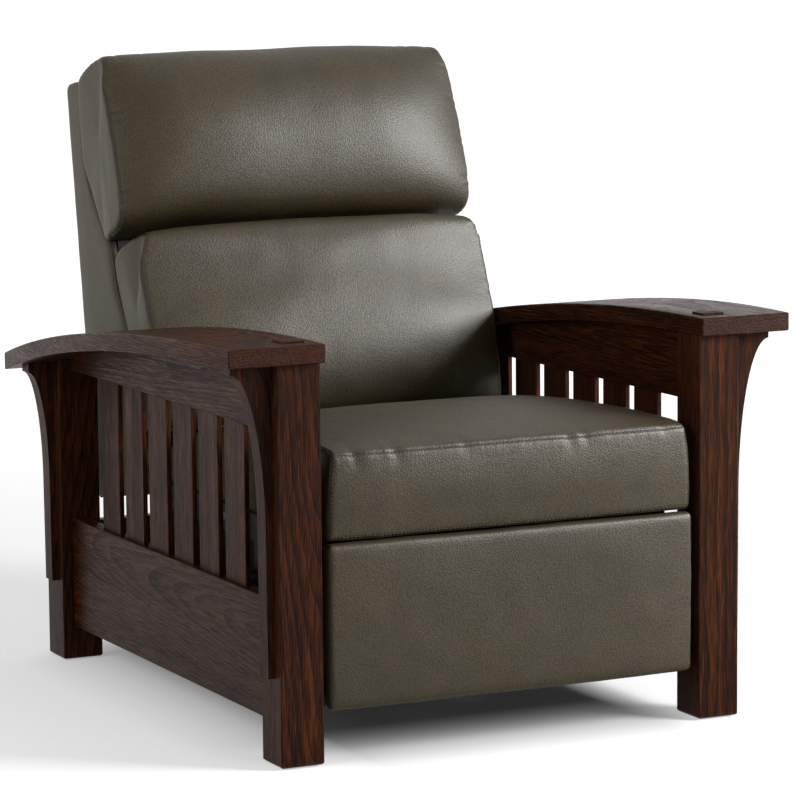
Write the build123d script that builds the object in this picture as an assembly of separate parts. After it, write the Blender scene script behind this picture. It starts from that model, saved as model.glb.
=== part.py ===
from build123d import *
import math
import os

# Reclining armchair: a wooden side frame with a bowed arm on each side, and between them a
# leather seat, back and footrest carried by a steel recliner mechanism.
# Lengths are in millimetres and angles in degrees. X is across, Y runs to the back, Z is up.
# The pieces are drawn with Y zero at the front faces of the front posts and Z zero on the
# floor. At the end they move so that Y zero is the middle of the whole chair.

# Half of the room between the posts, which everything across the chair follows, and the
# depth over the posts, which the back and the seat follow
INSIDE_HALF = 319.0
SIDE_DEPTH = 962.5

# Posts of the side frames
POST_SIDE = 69.5
POST_EDGE = 1.5
FOOT_CHAMFER = 3.0
GLIDE_SIDE = 30.0
GLIDE_THICKNESS = 2.5

# Bowed arms
ARM_TOP_Z = 629.5
ARM_THICKNESS = 28.0
ARM_REAR_DROP = 115.64
ARM_APEX_Y = 9.0
ARM_INNER_LIP = 3.0
ARM_FRONT_REACH = 81.5
ARM_WIDEST_REACH = 93.5
ARM_WIDEST_Y = 350.0
ARM_REAR_REACH = 55.5
ARM_FRONT_OVERHANG = 14.0
ARM_REAR_OVERHANG = 37.0
ARM_EDGE = 1.5

# Tenons of the posts in the arms
TENON_WIDTH = 36.0
TENON_DEPTH = 34.0
TENON_PROUD = 5.0
TENON_BEVEL_RISE = 2.0
TENON_BEVEL_RUN = 9.0
BLIND_TENON_LENGTH = 15.0
TENON_CLEARANCE = 0.2

# Side rails and slats
RAIL_THICKNESS = 25.0
RAIL_INSET = 20.0
RAIL_EDGE = 1.0
LOWER_RAIL_BOTTOM = 58.0
LOWER_RAIL_TOP = 241.5
UPPER_RAIL_BOTTOM = 492.0
RAIL_TENON_LENGTH = 24.0
RAIL_TENON_THICKNESS = 12.0
LOWER_RAIL_SHOULDER = 12.0
UPPER_RAIL_SHOULDER = 4.0
SLAT_COUNT = 6
SLAT_WIDTH = 75.5
SLAT_GAP = 26.5
SLAT_THICKNESS = 8.0
SLAT_TENON = 9.0
SLAT_EDGE = 0.8
SLAT_CLEARANCE = 0.2

# Corbels under the arms
CORBEL_THICKNESS = 30.0
CORBEL_LIP = 13.5
CORBEL_NECK = 12.0
CORBEL_TOE = 11.0
CORBEL_BOTTOM = 135.0
FRONT_CORBEL_REACH = 65.0
FRONT_CORBEL_CURVE = 237.0
REAR_CORBEL_REACH = 45.0
REAR_CORBEL_CURVE = 190.0

# Stretchers between the side frames
STRETCHER_THICKNESS = 22.0
STRETCHER_TENON = 12.0
STRETCHER_SHOULDER = 5.0
STRETCHER_BOTTOM = 60.0
FRONT_STRETCHER_Y = 125.0
FRONT_STRETCHER_TOP = 118.0
REAR_STRETCHER_SETBACK = 38.0
REAR_STRETCHER_TOP = 228.0

# Steel layers of the mechanism, counted outwards from the wooden seat rails
SEAT_SIDE_ROOM = 27.0
STEEL = 3.0
LAYER_GAP = 1.0
LINK_RADIUS = 9.5
PIN_RADIUS = 4.0
PIN_HEAD_RADIUS = 6.5
PIN_HEAD = 1.5
HEAD_GAP = 0.3
PIN_CLEARANCE = 0.05
OPEN_PIVOT_CLEARANCE = 0.3

# Footrest lazy tongs: crossing links on each side, from a fixed pivot and a guide slot
TONGS_PIVOT_Y = 93.0
TONGS_PIVOT_Z = 305.0
TONGS_HALF = 100.0
TONGS_CLOSED_ANGLE = 84.0
TONGS_OPEN_ANGLE = 6.0
GUIDE_HALF_WIDTH = 11.0
GUIDE_END = 12.0
GUIDE_RUNOUT = 1.0
TUBE_RADIUS = 8.0
TUBE_WALL = 2.0

# Base rails on the side frames, and the swing links that carry the seat
BASE_STANDOFF = 22.5
BASE_STEEL = 2.5
BASE_FRONT_Y = 190.0
BASE_REAR_SETBACK = 10.0
BASE_BOTTOM = 100.0
BASE_TOP = 160.0
BASE_LIP = 18.0
SWING_PIVOT_Z = 135.0
SWING_FRONT_Y = 260.0
SWING_REAR_SETBACK = 140.0
SWING_LENGTH = 110.0
SWING_HALF_ANGLE = 16.0
SWING_STEEL = 4.0
SWING_BASE_GAP = 2.0
SWING_RADIUS = 14.0
SWING_PIN_RADIUS = 5.0
SWING_COLLAR_RADIUS = 8.0
SWING_HEAD = 1.4
CROSS_TUBE_RADIUS = 11.0
CROSS_TUBE_WALL = 2.0
CROSS_TUBE_SETBACK = 60.0
CROSS_TUBE_Z = 130.0

# Wooden seat frame, its webbing and its side plates
SEAT_FRONT_Y = 60.0
SEAT_REAR_SETBACK = 244.5
SEAT_BOTTOM = 262.0
SEAT_SIDE_BOTTOM = 214.0
SEAT_TOP = 335.0
SEAT_WOOD = 22.0
SEAT_TENON = 10.0
WEBBING_THICKNESS = 1.0
WEBBING_WIDTH = 60.0
WEBBING_LENGTHWISE = 4
WEBBING_CROSSWISE = 4
WEBBING_INSET = 4.0
PLATE_BOTTOM = 288.0
PLATE_TOP = 330.0

# Back frame, drawn upright from the foot of the outside back and then leaned
BACK_LEAN = 9.0
BACK_FOOT_SETBACK = 18.0
BACK_FOOT_Z = 262.0
BACK_HEIGHT = 702.0
BACK_DEPTH = 236.0
BACK_SIDE_ROOM = 14.0
BACK_PANEL = 12.0
BACK_PANEL_EDGE = 5.0
BACK_COVER = 16.5
BACK_COVER_SKIN = 5.5
BACK_POCKET_TOP = 180.0
BACK_WOOD = 22.0
BACK_RAIL_HEIGHT = 60.0
BACK_TOP_RAIL_DEPTH = 40.0
BACK_WOOD_INSET = 3.0
BACK_WOOD_FOOT = 24.0
BACK_WOOD_FOOT_DEPTH = 200.0
BACK_STRAP = 50.0
BACK_STRAP_SHARES = [0.10, 0.20, 0.52, 0.84]
HINGE_DEPTH = 233.0
HINGE_HEIGHT = 37.0
HINGE_EAR_RADIUS = 18.0
PLATE_EAR_RADIUS = 20.0
HINGE_PIN_RADIUS = 6.0
HINGE_HEAD_RADIUS = 9.0
HINGE_PLATE_GAP = 0.5
HINGE_PLATE_DEPTH = 70.0
HINGE_PLATE_TOP = 150.0

# Cushions, and the drop from front to rear of the crease between the two back cushions
CUSHION_GAP = 0.3
SEAT_CUSHION_SIDE_ROOM = 11.0
SEAT_CUSHION_FRONT_Y = 4.0
SEAT_CUSHION_SETBACK = 260.5
SEAT_CUSHION_HEIGHT = 150.0
LUMBAR_OVERHANG = 8.0
HEAD_OVERHANG = 14.0
CREASE_DROP = 24.0

# Footrest panel and its brackets
FOOTREST_SIDE_ROOM = 11.0
FOOTREST_BOTTOM = 80.0
FOOTREST_TOP = 327.0
FOOTREST_FRONT_Y = -7.0
FOOTREST_PAD = 36.0
FOOTREST_BOARD = 16.0
FOOTREST_BOARD_INSET = 8.0
FOOTREST_BOARD_CORNER = 10.0
BRACKET_FLANGE = 32.0
BRACKET_BOTTOM = 100.0
BRACKET_TOP = 317.0
BRACKET_FOOT = 10.0

# Overrun of every cutting tool
OVERRUN = 5.0

# Front edge of the back's side covers: shares of the back's depth and height, upwards
BACK_FRONT_SHARES = [
    (1.0, 0.0),
    (1.0, 0.085),
    (0.822, 0.399),
    (0.686, 0.491),
    (0.627, 0.605),
    (0.271, 0.806),
    (0.271, 1.0),
]

# Cushion outlines, from the bottom's rear end forwards and up over the top: shares of the
# box each is measured in, and the bulge of the edge that follows as a share of its length.
# A cushion has one outline along its side seams and one in the middle of its crown.
SEAT_SIDE_SHARES = [
    (0.990, 0.000, 0.00),
    (0.024, 0.000, 0.14),
    (0.006, 0.060, 0.00),
    (0.006, 0.800, 0.16),
    (0.022, 0.855, 0.00),
    (0.330, 0.905, 0.00),
    (0.720, 0.745, 0.00),
    (0.930, 0.375, 0.00),
    (0.985, 0.220, 0.00),
]
SEAT_MIDDLE_SHARES = [
    (0.990, 0.000, 0.00),
    (0.018, 0.000, 0.14),
    (0.000, 0.060, 0.00),
    (0.000, 0.820, 0.16),
    (0.018, 0.885, 0.00),
    (0.340, 1.015, 0.00),
    (0.735, 0.805, 0.00),
    (0.935, 0.395, 0.00),
    (0.988, 0.230, 0.00),
]
LUMBAR_SIDE_SHARES = [
    (1.275, 0.148, 0.00),
    (1.335, 0.158, 0.00),
    (1.365, 0.180, 0.00),
    (1.360, 0.385, 0.00),
    (1.245, 0.540, 0.00),
    (1.205, 0.612, 0.00),
    (1.185, 0.624, 0.00),
    (1.150, 0.628, 0.00),
]
LUMBAR_MIDDLE_SHARES = [
    (1.330, 0.148, 0.00),
    (1.400, 0.163, 0.00),
    (1.440, 0.193, 0.00),
    (1.450, 0.385, 0.00),
    (1.330, 0.540, 0.00),
    (1.270, 0.612, 0.00),
    (1.245, 0.625, 0.00),
    (1.200, 0.628, 0.00),
]
HEAD_SIDE_SHARES = [
    (0.935, 0.640, 0.00),
    (1.005, 0.655, 0.00),
    (1.035, 0.690, 0.00),
    (0.965, 0.815, 0.00),
    (0.850, 0.985, 0.00),
    (0.815, 1.003, 0.00),
    (0.770, 1.015, 0.00),
    (0.330, 1.002, 0.00),
]
HEAD_MIDDLE_SHARES = [
    (1.020, 0.640, 0.00),
    (1.115, 0.665, 0.00),
    (1.160, 0.705, 0.00),
    (1.200, 0.840, 0.00),
    (0.990, 1.005, 0.00),
    (0.905, 1.033, 0.00),
    (0.800, 1.048, 0.00),
    (0.330, 1.002, 0.00),
]
PAD_SIDE_SHARES = [
    (1.0, 0.005, 0.00),
    (0.60, 0.000, 0.16),
    (0.20, 0.050, 0.00),
    (0.20, 0.950, 0.16),
    (0.50, 1.000, 0.00),
    (1.0, 1.000, 0.00),
]
PAD_MIDDLE_SHARES = [
    (1.0, 0.005, 0.00),
    (0.50, 0.000, 0.16),
    (0.05, 0.050, 0.00),
    (0.05, 0.950, 0.16),
    (0.42, 1.000, 0.00),
    (1.0, 1.000, 0.00),
]

# Stations of the outlines from the middle of a cushion to its side, as shares of its half
# width, and how far each outline has drawn in, as shares of the draw at the very end
STATION_SHARES = [(0.0, 0.0), (0.45, 0.0), (0.75, 0.0), (0.95, 0.15), (1.0, 1.0)]
END_SHRINK_SHARE = 0.08
PAD_END_SHRINK_SHARE = 0.04

POST_INNER_X = INSIDE_HALF
POST_OUTER_X = INSIDE_HALF + POST_SIDE
POST_MID_X = INSIDE_HALF + POST_SIDE / 2
REAR_POST_Y = SIDE_DEPTH - POST_SIDE
RAIL_OUTER_X = POST_OUTER_X - RAIL_INSET
RAIL_INNER_X = RAIL_OUTER_X - RAIL_THICKNESS
RAIL_MID_X = RAIL_OUTER_X - RAIL_THICKNESS / 2
ARM_FRONT_Y = -ARM_FRONT_OVERHANG
ARM_REAR_Y = SIDE_DEPTH + ARM_REAR_OVERHANG
ARM_INNER_X = POST_INNER_X - ARM_INNER_LIP
ARM_FRONT_X = POST_OUTER_X + ARM_FRONT_REACH
ARM_WIDEST_X = POST_OUTER_X + ARM_WIDEST_REACH
ARM_REAR_X = POST_OUTER_X + ARM_REAR_REACH
ARM_BOW_RUN = ARM_REAR_Y - ARM_APEX_Y
ARM_BOW_RADIUS = (ARM_BOW_RUN**2 + ARM_REAR_DROP**2) / (2 * ARM_REAR_DROP)

BACK_FOOT_Y = SIDE_DEPTH - BACK_FOOT_SETBACK
SEAT_REAR_Y = BACK_FOOT_Y - SEAT_REAR_SETBACK
SEAT_CUSHION_LENGTH = BACK_FOOT_Y - SEAT_CUSHION_SETBACK - SEAT_CUSHION_FRONT_Y
SWING_REAR_Y = SEAT_REAR_Y - SWING_REAR_SETBACK
BASE_REAR_Y = SEAT_REAR_Y - BASE_REAR_SETBACK
CROSS_TUBE_Y = SEAT_REAR_Y - CROSS_TUBE_SETBACK

SEAT_HALF = INSIDE_HALF - SEAT_SIDE_ROOM
PLATE_X = SEAT_HALF + STEEL
DRIVE_X = PLATE_X + LAYER_GAP
CROSS_X = DRIVE_X + STEEL + LAYER_GAP
BRACKET_X = CROSS_X + STEEL + LAYER_GAP
BASE_WEB_X = RAIL_INNER_X - BASE_STANDOFF
BASE_LIP_X = RAIL_INNER_X - BASE_STEEL
SWING_OUTER_X = BASE_WEB_X - SWING_BASE_GAP
SWING_INNER_X = SWING_OUTER_X - SWING_STEEL

BACK_HALF = INSIDE_HALF - BACK_SIDE_ROOM
BACK_INNER_X = BACK_HALF - BACK_COVER
HINGE_PLATE_X = SEAT_HALF - HINGE_PLATE_GAP

SEAT_CUSHION_HALF = INSIDE_HALF - SEAT_CUSHION_SIDE_ROOM
LUMBAR_HALF = BACK_HALF + LUMBAR_OVERHANG
HEAD_HALF = BACK_HALF + HEAD_OVERHANG
FOOTREST_HALF = INSIDE_HALF - FOOTREST_SIDE_ROOM


def block(x0, x1, y0, y1, z0, z1):
    """Box between two corners."""
    size = Box(x1 - x0, y1 - y0, z1 - z0)
    return Pos((x0 + x1) / 2, (y0 + y1) / 2, (z0 + z1) / 2) * size


def rod(radius, x0, x1, point):
    """Round bar along X through a point of (Y, Z)."""
    return Pos((x0 + x1) / 2, point[0], point[1]) * Rot(Y=90) * Cylinder(radius, abs(x1 - x0))


def hex_head(radius, x0, x1, point):
    """Six-sided head along X through a point of (Y, Z)."""
    profile = Plane.YZ * RegularPolygon(radius, 6)
    return Pos(x0, point[0], point[1]) * extrude(profile, x1 - x0, dir=(1, 0, 0))


def side_face(edges):
    """Face in the YZ plane from edges drawn as (Y, Z)."""
    return Plane.YZ * make_face(edges)


def plate(edges, x0, x1):
    """Plate from edges drawn as (Y, Z), between two places on X."""
    return Pos(X=x0) * extrude(side_face(edges), x1 - x0, dir=(1, 0, 0))


def outline(points):
    """Closed run of straight edges through points."""
    return [Line(a, b) for a, b in zip(points, points[1:] + points[:1])]


def link(start, end, radius, x0, x1):
    """Flat link with rounded ends between two points of (Y, Z)."""
    length = math.dist(start, end)
    along_y = (end[0] - start[0]) / length * radius
    along_z = (end[1] - start[1]) / length * radius
    start_left = (start[0] - along_z, start[1] + along_y)
    start_right = (start[0] + along_z, start[1] - along_y)
    end_left = (end[0] - along_z, end[1] + along_y)
    end_right = (end[0] + along_z, end[1] - along_y)
    start_tip = (start[0] - along_y, start[1] - along_z)
    end_tip = (end[0] + along_y, end[1] + along_z)
    edges = [
        ThreePointArc(start_left, start_tip, start_right),
        Line(start_right, end_right),
        ThreePointArc(end_right, end_tip, end_left),
        Line(end_left, start_left),
    ]
    return plate(edges, x0, x1)


def left_of(shape):
    """Mirror copy on the left side of the chair."""
    return mirror(shape, about=Plane.YZ)


def both(shape):
    """A piece and its mirror copy, as two solids of one node."""
    return Compound(children=[*shape.solids(), *left_of(shape).solids()])


# Side frames

def bow_height(y, radius):
    """Height of an arm face at Y, from the arm's bow."""
    return ARM_TOP_Z - ARM_BOW_RADIUS + math.sqrt(radius**2 - (y - ARM_APEX_Y)**2)


def arm_top(y):
    return bow_height(y, ARM_BOW_RADIUS)


def arm_under(y):
    return bow_height(y, ARM_BOW_RADIUS - ARM_THICKNESS)


def bow_edge(height, y0, y1):
    """Arc of an arm face from one Y to another."""
    middle = (y0 + y1) / 2
    return ThreePointArc((y0, height(y0)), (middle, height(middle)), (y1, height(y1)))


def space_over_posts():
    """Space above the underside of the arms, which trims what stands below them."""
    y0 = ARM_FRONT_Y - OVERRUN
    y1 = ARM_REAR_Y + OVERRUN
    roof = ARM_TOP_Z + POST_SIDE
    edges = [
        bow_edge(arm_under, y0, y1),
        Line((y1, arm_under(y1)), (y1, roof)),
        Line((y1, roof), (y0, roof)),
        Line((y0, roof), (y0, arm_under(y0))),
    ]
    return plate(edges, ARM_INNER_X - OVERRUN, ARM_WIDEST_X + OVERRUN)


def rail_tenons(z0, z1, gap):
    """Tenons of a side rail in its two posts, or with a gap their mortises."""
    half = RAIL_TENON_THICKNESS / 2 + gap
    reach = RAIL_TENON_LENGTH + gap
    x0 = RAIL_MID_X - half
    x1 = RAIL_MID_X + half
    front = block(x0, x1, POST_SIDE - reach, POST_SIDE + OVERRUN, z0 - gap, z1 + gap)
    rear = block(x0, x1, REAR_POST_Y - OVERRUN, REAR_POST_Y + reach, z0 - gap, z1 + gap)
    return front + rear


def lower_rail_tenons(gap):
    shoulder = LOWER_RAIL_SHOULDER
    return rail_tenons(LOWER_RAIL_BOTTOM + shoulder, LOWER_RAIL_TOP - shoulder, gap)


def upper_rail_tenons(gap):
    tenons = rail_tenons(UPPER_RAIL_BOTTOM + UPPER_RAIL_SHOULDER, ARM_TOP_Z, gap)
    return tenons - space_over_posts()


def post_tenon(y0, top_z, bevel):
    """Tenon on top of a post, with a low pyramid on it where it shows."""
    middle = y0 + POST_SIDE / 2
    half_x = TENON_WIDTH / 2
    half_y = TENON_DEPTH / 2
    foot = arm_under(middle) - OVERRUN
    stub = block(
        POST_MID_X - half_x,
        POST_MID_X + half_x,
        middle - half_y,
        middle + half_y,
        foot,
        top_z,
    )
    if not bevel:
        return stub
    base = Pos(POST_MID_X, middle, top_z) * Rectangle(TENON_WIDTH, TENON_DEPTH)
    small = Rectangle(TENON_WIDTH - 2 * TENON_BEVEL_RUN, TENON_DEPTH - 2 * TENON_BEVEL_RUN)
    tip = Pos(POST_MID_X, middle, top_z + TENON_BEVEL_RISE) * small
    return stub + loft([base, tip])


def post(y0, top_z, bevel):
    """Right post on its front face, with its tenon and the mortises of the side rails."""
    blank = block(POST_INNER_X, POST_OUTER_X, y0, y0 + POST_SIDE, GLIDE_THICKNESS, ARM_TOP_Z)
    blank = chamfer(blank.faces().sort_by(Axis.Z)[0].edges(), FOOT_CHAMFER)
    blank = chamfer(blank.edges().filter_by(Axis.Z), POST_EDGE)
    blank = blank - space_over_posts()
    blank = blank + post_tenon(y0, top_z, bevel)
    blank = blank - lower_rail_tenons(TENON_CLEARANCE / 2)
    return blank - upper_rail_tenons(TENON_CLEARANCE / 2)


def glide_at(y0):
    """Square glide under a right post."""
    half = GLIDE_SIDE / 2
    middle = y0 + POST_SIDE / 2
    return block(
        POST_MID_X - half,
        POST_MID_X + half,
        middle - half,
        middle + half,
        0,
        GLIDE_THICKNESS,
    )


def floor_glides():
    return both(glide_at(0) + glide_at(REAR_POST_Y))


def front_post():
    top_z = arm_top(POST_SIDE / 2) + TENON_PROUD - TENON_BEVEL_RISE
    return post(0, top_z, True)


def rear_post():
    top_z = arm_under(REAR_POST_Y + POST_SIDE / 2) + BLIND_TENON_LENGTH
    stretcher = cross_tenons(*rear_stretcher_box(), TENON_CLEARANCE / 2)
    return post(REAR_POST_Y, top_z, False) - stretcher


def arm_mortise(y0, depth):
    """Mortise in the arm over a post, up from its underside."""
    middle = y0 + POST_SIDE / 2
    half_x = TENON_WIDTH / 2 + TENON_CLEARANCE
    half_y = TENON_DEPTH / 2 + TENON_CLEARANCE
    foot = arm_under(middle)
    return block(
        POST_MID_X - half_x,
        POST_MID_X + half_x,
        middle - half_y,
        middle + half_y,
        foot - OVERRUN,
        foot + depth,
    )


def arm():
    """Right arm: an arched board with a bowed outer edge, mortised for both posts."""
    y0 = ARM_FRONT_Y - OVERRUN
    y1 = ARM_REAR_Y + OVERRUN
    side_edges = [
        bow_edge(arm_top, y0, y1),
        Line((y1, arm_top(y1)), (y1, arm_under(y1))),
        bow_edge(arm_under, y1, y0),
        Line((y0, arm_under(y0)), (y0, arm_top(y0))),
    ]
    arched = plate(side_edges, ARM_INNER_X - OVERRUN, ARM_WIDEST_X + OVERRUN)
    front_inner = (ARM_INNER_X, ARM_FRONT_Y)
    front_outer = (ARM_FRONT_X, ARM_FRONT_Y)
    rear_inner = (ARM_INNER_X, ARM_REAR_Y)
    rear_outer = (ARM_REAR_X, ARM_REAR_Y)
    plan_edges = [
        Line(front_inner, front_outer),
        ThreePointArc(front_outer, (ARM_WIDEST_X, ARM_WIDEST_Y), rear_outer),
        Line(rear_outer, rear_inner),
        Line(rear_inner, front_inner),
    ]
    plan = extrude(make_face(plan_edges), ARM_TOP_Z + OVERRUN)
    board = arched & plan
    board = chamfer(board.edges(), ARM_EDGE)
    board = board - arm_mortise(0, ARM_THICKNESS + OVERRUN)
    return board - arm_mortise(REAR_POST_Y, BLIND_TENON_LENGTH + TENON_CLEARANCE)


def slat_span():
    """Y of the first slat's front edge and the step from slat to slat."""
    step = SLAT_WIDTH + SLAT_GAP
    total = SLAT_COUNT * SLAT_WIDTH + (SLAT_COUNT - 1) * SLAT_GAP
    return SIDE_DEPTH / 2 - total / 2, step


def slat_box(index, gap):
    """Right slat with its stub tenons, or with a gap the mortises for them."""
    first, step = slat_span()
    y0 = first + index * step
    half = SLAT_THICKNESS / 2 + gap
    return block(
        RAIL_MID_X - half,
        RAIL_MID_X + half,
        y0 - gap,
        y0 + SLAT_WIDTH + gap,
        LOWER_RAIL_TOP - SLAT_TENON - gap,
        UPPER_RAIL_BOTTOM + SLAT_TENON + gap,
    )


def slat(index):
    board = slat_box(index, 0)
    return chamfer(board.edges().filter_by(Axis.Z), SLAT_EDGE)


def lower_side_rail():
    """Right lower rail between the posts."""
    rail = block(
        RAIL_INNER_X,
        RAIL_OUTER_X,
        POST_SIDE,
        REAR_POST_Y,
        LOWER_RAIL_BOTTOM,
        LOWER_RAIL_TOP,
    )
    rail = chamfer(rail.edges().filter_by(Axis.Y), RAIL_EDGE)
    rail = rail + lower_rail_tenons(0)
    for index in range(SLAT_COUNT):
        rail = rail - slat_box(index, SLAT_CLEARANCE)
    return rail - cross_tenons(*front_stretcher_box(), TENON_CLEARANCE / 2)


def upper_side_rail():
    """Right upper rail, whose top follows the arm."""
    rail = block(
        RAIL_INNER_X,
        RAIL_OUTER_X,
        POST_SIDE,
        REAR_POST_Y,
        UPPER_RAIL_BOTTOM,
        ARM_TOP_Z,
    )
    low_edges = rail.edges().filter_by(Axis.Y).group_by(Axis.Z)[0]
    rail = chamfer(low_edges, RAIL_EDGE) - space_over_posts()
    rail = rail + upper_rail_tenons(0)
    for index in range(SLAT_COUNT):
        rail = rail - slat_box(index, SLAT_CLEARANCE)
    return rail


def corbel(y0, reach, curve):
    """Right corbel on the outer face of a post, under the arm."""
    middle = y0 + POST_SIDE / 2
    lip_z = arm_under(middle) - CORBEL_LIP
    root = POST_OUTER_X
    tip = root + reach
    neck = (root + CORBEL_NECK, lip_z - curve)
    toe = (root + CORBEL_TOE, CORBEL_BOTTOM)
    edges = [
        Line((root, CORBEL_BOTTOM), (root, ARM_TOP_Z)),
        Line((root, ARM_TOP_Z), (tip, ARM_TOP_Z)),
        Line((tip, ARM_TOP_Z), (tip, lip_z)),
        EllipticalCenterArc(
            (tip, neck[1]),
            reach - CORBEL_NECK,
            curve,
            start_angle=90,
            arc_size=90,
        ),
        Line(neck, toe),
        Line(toe, (root, CORBEL_BOTTOM)),
    ]
    face = Plane.XZ * make_face(edges)
    board = extrude(face, CORBEL_THICKNESS, dir=(0, 1, 0))
    board = Pos(Y=middle - CORBEL_THICKNESS / 2) * board
    return board - space_over_posts()


def front_corbel():
    return corbel(0, FRONT_CORBEL_REACH, FRONT_CORBEL_CURVE)


def rear_corbel():
    return corbel(REAR_POST_Y, REAR_CORBEL_REACH, REAR_CORBEL_CURVE)


# Cross rails of the frames: stretchers, seat rails and back rails

def cross_tenons(half, y0, y1, z0, z1, tenon, gap):
    """Tenons at both ends of a cross rail, or with a gap their mortises."""
    reach = half + tenon + gap
    shoulder = STRETCHER_SHOULDER - gap
    return block(
        -reach,
        reach,
        y0 + shoulder,
        y1 - shoulder,
        z0 + shoulder,
        z1 - shoulder,
    )


def cross_rail(half, y0, y1, z0, z1, tenon):
    """Rail across the chair with a stub tenon at each end."""
    rail = block(-half, half, y0, y1, z0, z1)
    rail = chamfer(rail.edges().filter_by(Axis.X), RAIL_EDGE)
    return rail + cross_tenons(half, y0, y1, z0, z1, tenon, 0)


def front_stretcher_box():
    y1 = FRONT_STRETCHER_Y + STRETCHER_THICKNESS
    top = FRONT_STRETCHER_TOP
    return RAIL_INNER_X, FRONT_STRETCHER_Y, y1, STRETCHER_BOTTOM, top, STRETCHER_TENON


def rear_stretcher_box():
    y0 = REAR_POST_Y + REAR_STRETCHER_SETBACK
    y1 = y0 + STRETCHER_THICKNESS
    top = REAR_STRETCHER_TOP
    return POST_INNER_X, y0, y1, STRETCHER_BOTTOM, top, STRETCHER_TENON


# Base rails and the cross tube

def swing_feet():
    """Lower pivots of the swing links, as (Y, Z)."""
    return [(SWING_FRONT_Y, SWING_PIVOT_Z), (SWING_REAR_Y, SWING_PIVOT_Z)]


def swing_tops():
    """Upper pivots of the swing links with the seat upright, as (Y, Z)."""
    tilt = math.radians(SWING_HALF_ANGLE)
    back = SWING_LENGTH * math.sin(tilt)
    rise = SWING_LENGTH * math.cos(tilt)
    return [(y + back, z + rise) for y, z in swing_feet()]


def base_stud(point):
    """Stud on a base rail for the foot of a swing link."""
    head_x = SWING_INNER_X - HEAD_GAP
    shank = rod(SWING_PIN_RADIUS, head_x, BASE_WEB_X, point)
    return shank + hex_head(SWING_COLLAR_RADIUS, head_x - SWING_HEAD, head_x, point)


def base_rails():
    """Folded steel rails on the lower side rails, with the studs of the swing links."""
    y0 = BASE_FRONT_Y
    y1 = BASE_REAR_Y
    steel = BASE_STEEL
    web = block(BASE_WEB_X, BASE_WEB_X + steel, y0, y1, BASE_BOTTOM, BASE_TOP)
    top = block(BASE_WEB_X, RAIL_INNER_X, y0, y1, BASE_TOP - steel, BASE_TOP)
    bottom = block(BASE_WEB_X, RAIL_INNER_X, y0, y1, BASE_BOTTOM, BASE_BOTTOM + steel)
    lip_top = block(BASE_LIP_X, RAIL_INNER_X, y0, y1, BASE_TOP - steel, BASE_TOP + BASE_LIP)
    lip_low = BASE_BOTTOM - BASE_LIP
    lip_bottom = block(BASE_LIP_X, RAIL_INNER_X, y0, y1, lip_low, BASE_BOTTOM + steel)
    rail = web + top + bottom + lip_top + lip_bottom
    for point in swing_feet():
        rail = rail + base_stud(point)
    return both(rail)


def cross_tube():
    """Tube that ties the webs of the two base rails."""
    reach = BASE_WEB_X
    centre = (CROSS_TUBE_Y, CROSS_TUBE_Z)
    outer = rod(CROSS_TUBE_RADIUS, -reach, reach, centre)
    bore = rod(CROSS_TUBE_RADIUS - CROSS_TUBE_WALL, -reach - OVERRUN, reach + OVERRUN, centre)
    return outer - bore


def swing_link(index):
    """One pair of swing links, from a base rail up to the seat's side plates."""
    foot = swing_feet()[index]
    top = swing_tops()[index]
    bar = link(foot, top, SWING_RADIUS, SWING_INNER_X, SWING_OUTER_X)
    for point in (foot, top):
        hole = rod(
            SWING_PIN_RADIUS + PIN_CLEARANCE,
            SWING_INNER_X - OVERRUN,
            SWING_OUTER_X + OVERRUN,
            point,
        )
        bar = bar - hole
    return both(bar)


# Footrest lazy tongs

def tongs():
    """Places of (Y, Z) of the pivots with the footrest shut."""
    angle = math.radians(TONGS_CLOSED_ANGLE)
    reach = TONGS_HALF * math.cos(angle)
    drop = TONGS_HALF * math.sin(angle)
    y = TONGS_PIVOT_Y
    z = TONGS_PIVOT_Z
    return {
        "fixed": (y, z),
        "middle": (y - reach, z - drop),
        "lower": (y - 2 * reach, z - 2 * drop),
        "guide": (y, z - 2 * drop),
        "upper": (y - 2 * reach, z),
        "lift": (y - 3 * reach, z - drop),
    }


def pin(inner_x, outer_x, point):
    """Riveted pin through a link to its outer side, with a head."""
    shank = rod(PIN_RADIUS, inner_x, outer_x + HEAD_GAP, point)
    head = hex_head(PIN_HEAD_RADIUS, outer_x + HEAD_GAP, outer_x + HEAD_GAP + PIN_HEAD, point)
    return shank + head


def pin_hole(x0, point, clearance):
    """Hole for a pin through a steel plate that starts at a place on X."""
    return rod(PIN_RADIUS + clearance, x0 - OVERRUN, x0 + STEEL + OVERRUN, point)


def drive_links():
    """Links from the fixed pivots to the torque tube."""
    at = tongs()
    bar = link(at["fixed"], at["lower"], LINK_RADIUS, DRIVE_X, DRIVE_X + STEEL)
    bar = bar - pin_hole(DRIVE_X, at["fixed"], PIN_CLEARANCE)
    bar = bar + pin(DRIVE_X, CROSS_X + STEEL, at["middle"])
    return both(bar + pin(DRIVE_X, CROSS_X + STEEL, at["lower"]))


def torque_tube():
    """Tube between the lower ends of the drive links."""
    centre = tongs()["lower"]
    outer = rod(TUBE_RADIUS, -DRIVE_X, DRIVE_X, centre)
    bore = rod(TUBE_RADIUS - TUBE_WALL, -DRIVE_X - OVERRUN, DRIVE_X + OVERRUN, centre)
    return outer - bore


def cross_links():
    """Links from the guide slots, across the drive links, to the footrest brackets."""
    at = tongs()
    bar = link(at["guide"], at["upper"], LINK_RADIUS, CROSS_X, CROSS_X + STEEL)
    bar = bar - pin_hole(CROSS_X, at["middle"], PIN_CLEARANCE)
    bar = bar + pin(CROSS_X, BRACKET_X + STEEL, at["upper"])
    return both(bar + rod(PIN_RADIUS, SEAT_HALF + HEAD_GAP, CROSS_X, at["guide"]))


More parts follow.
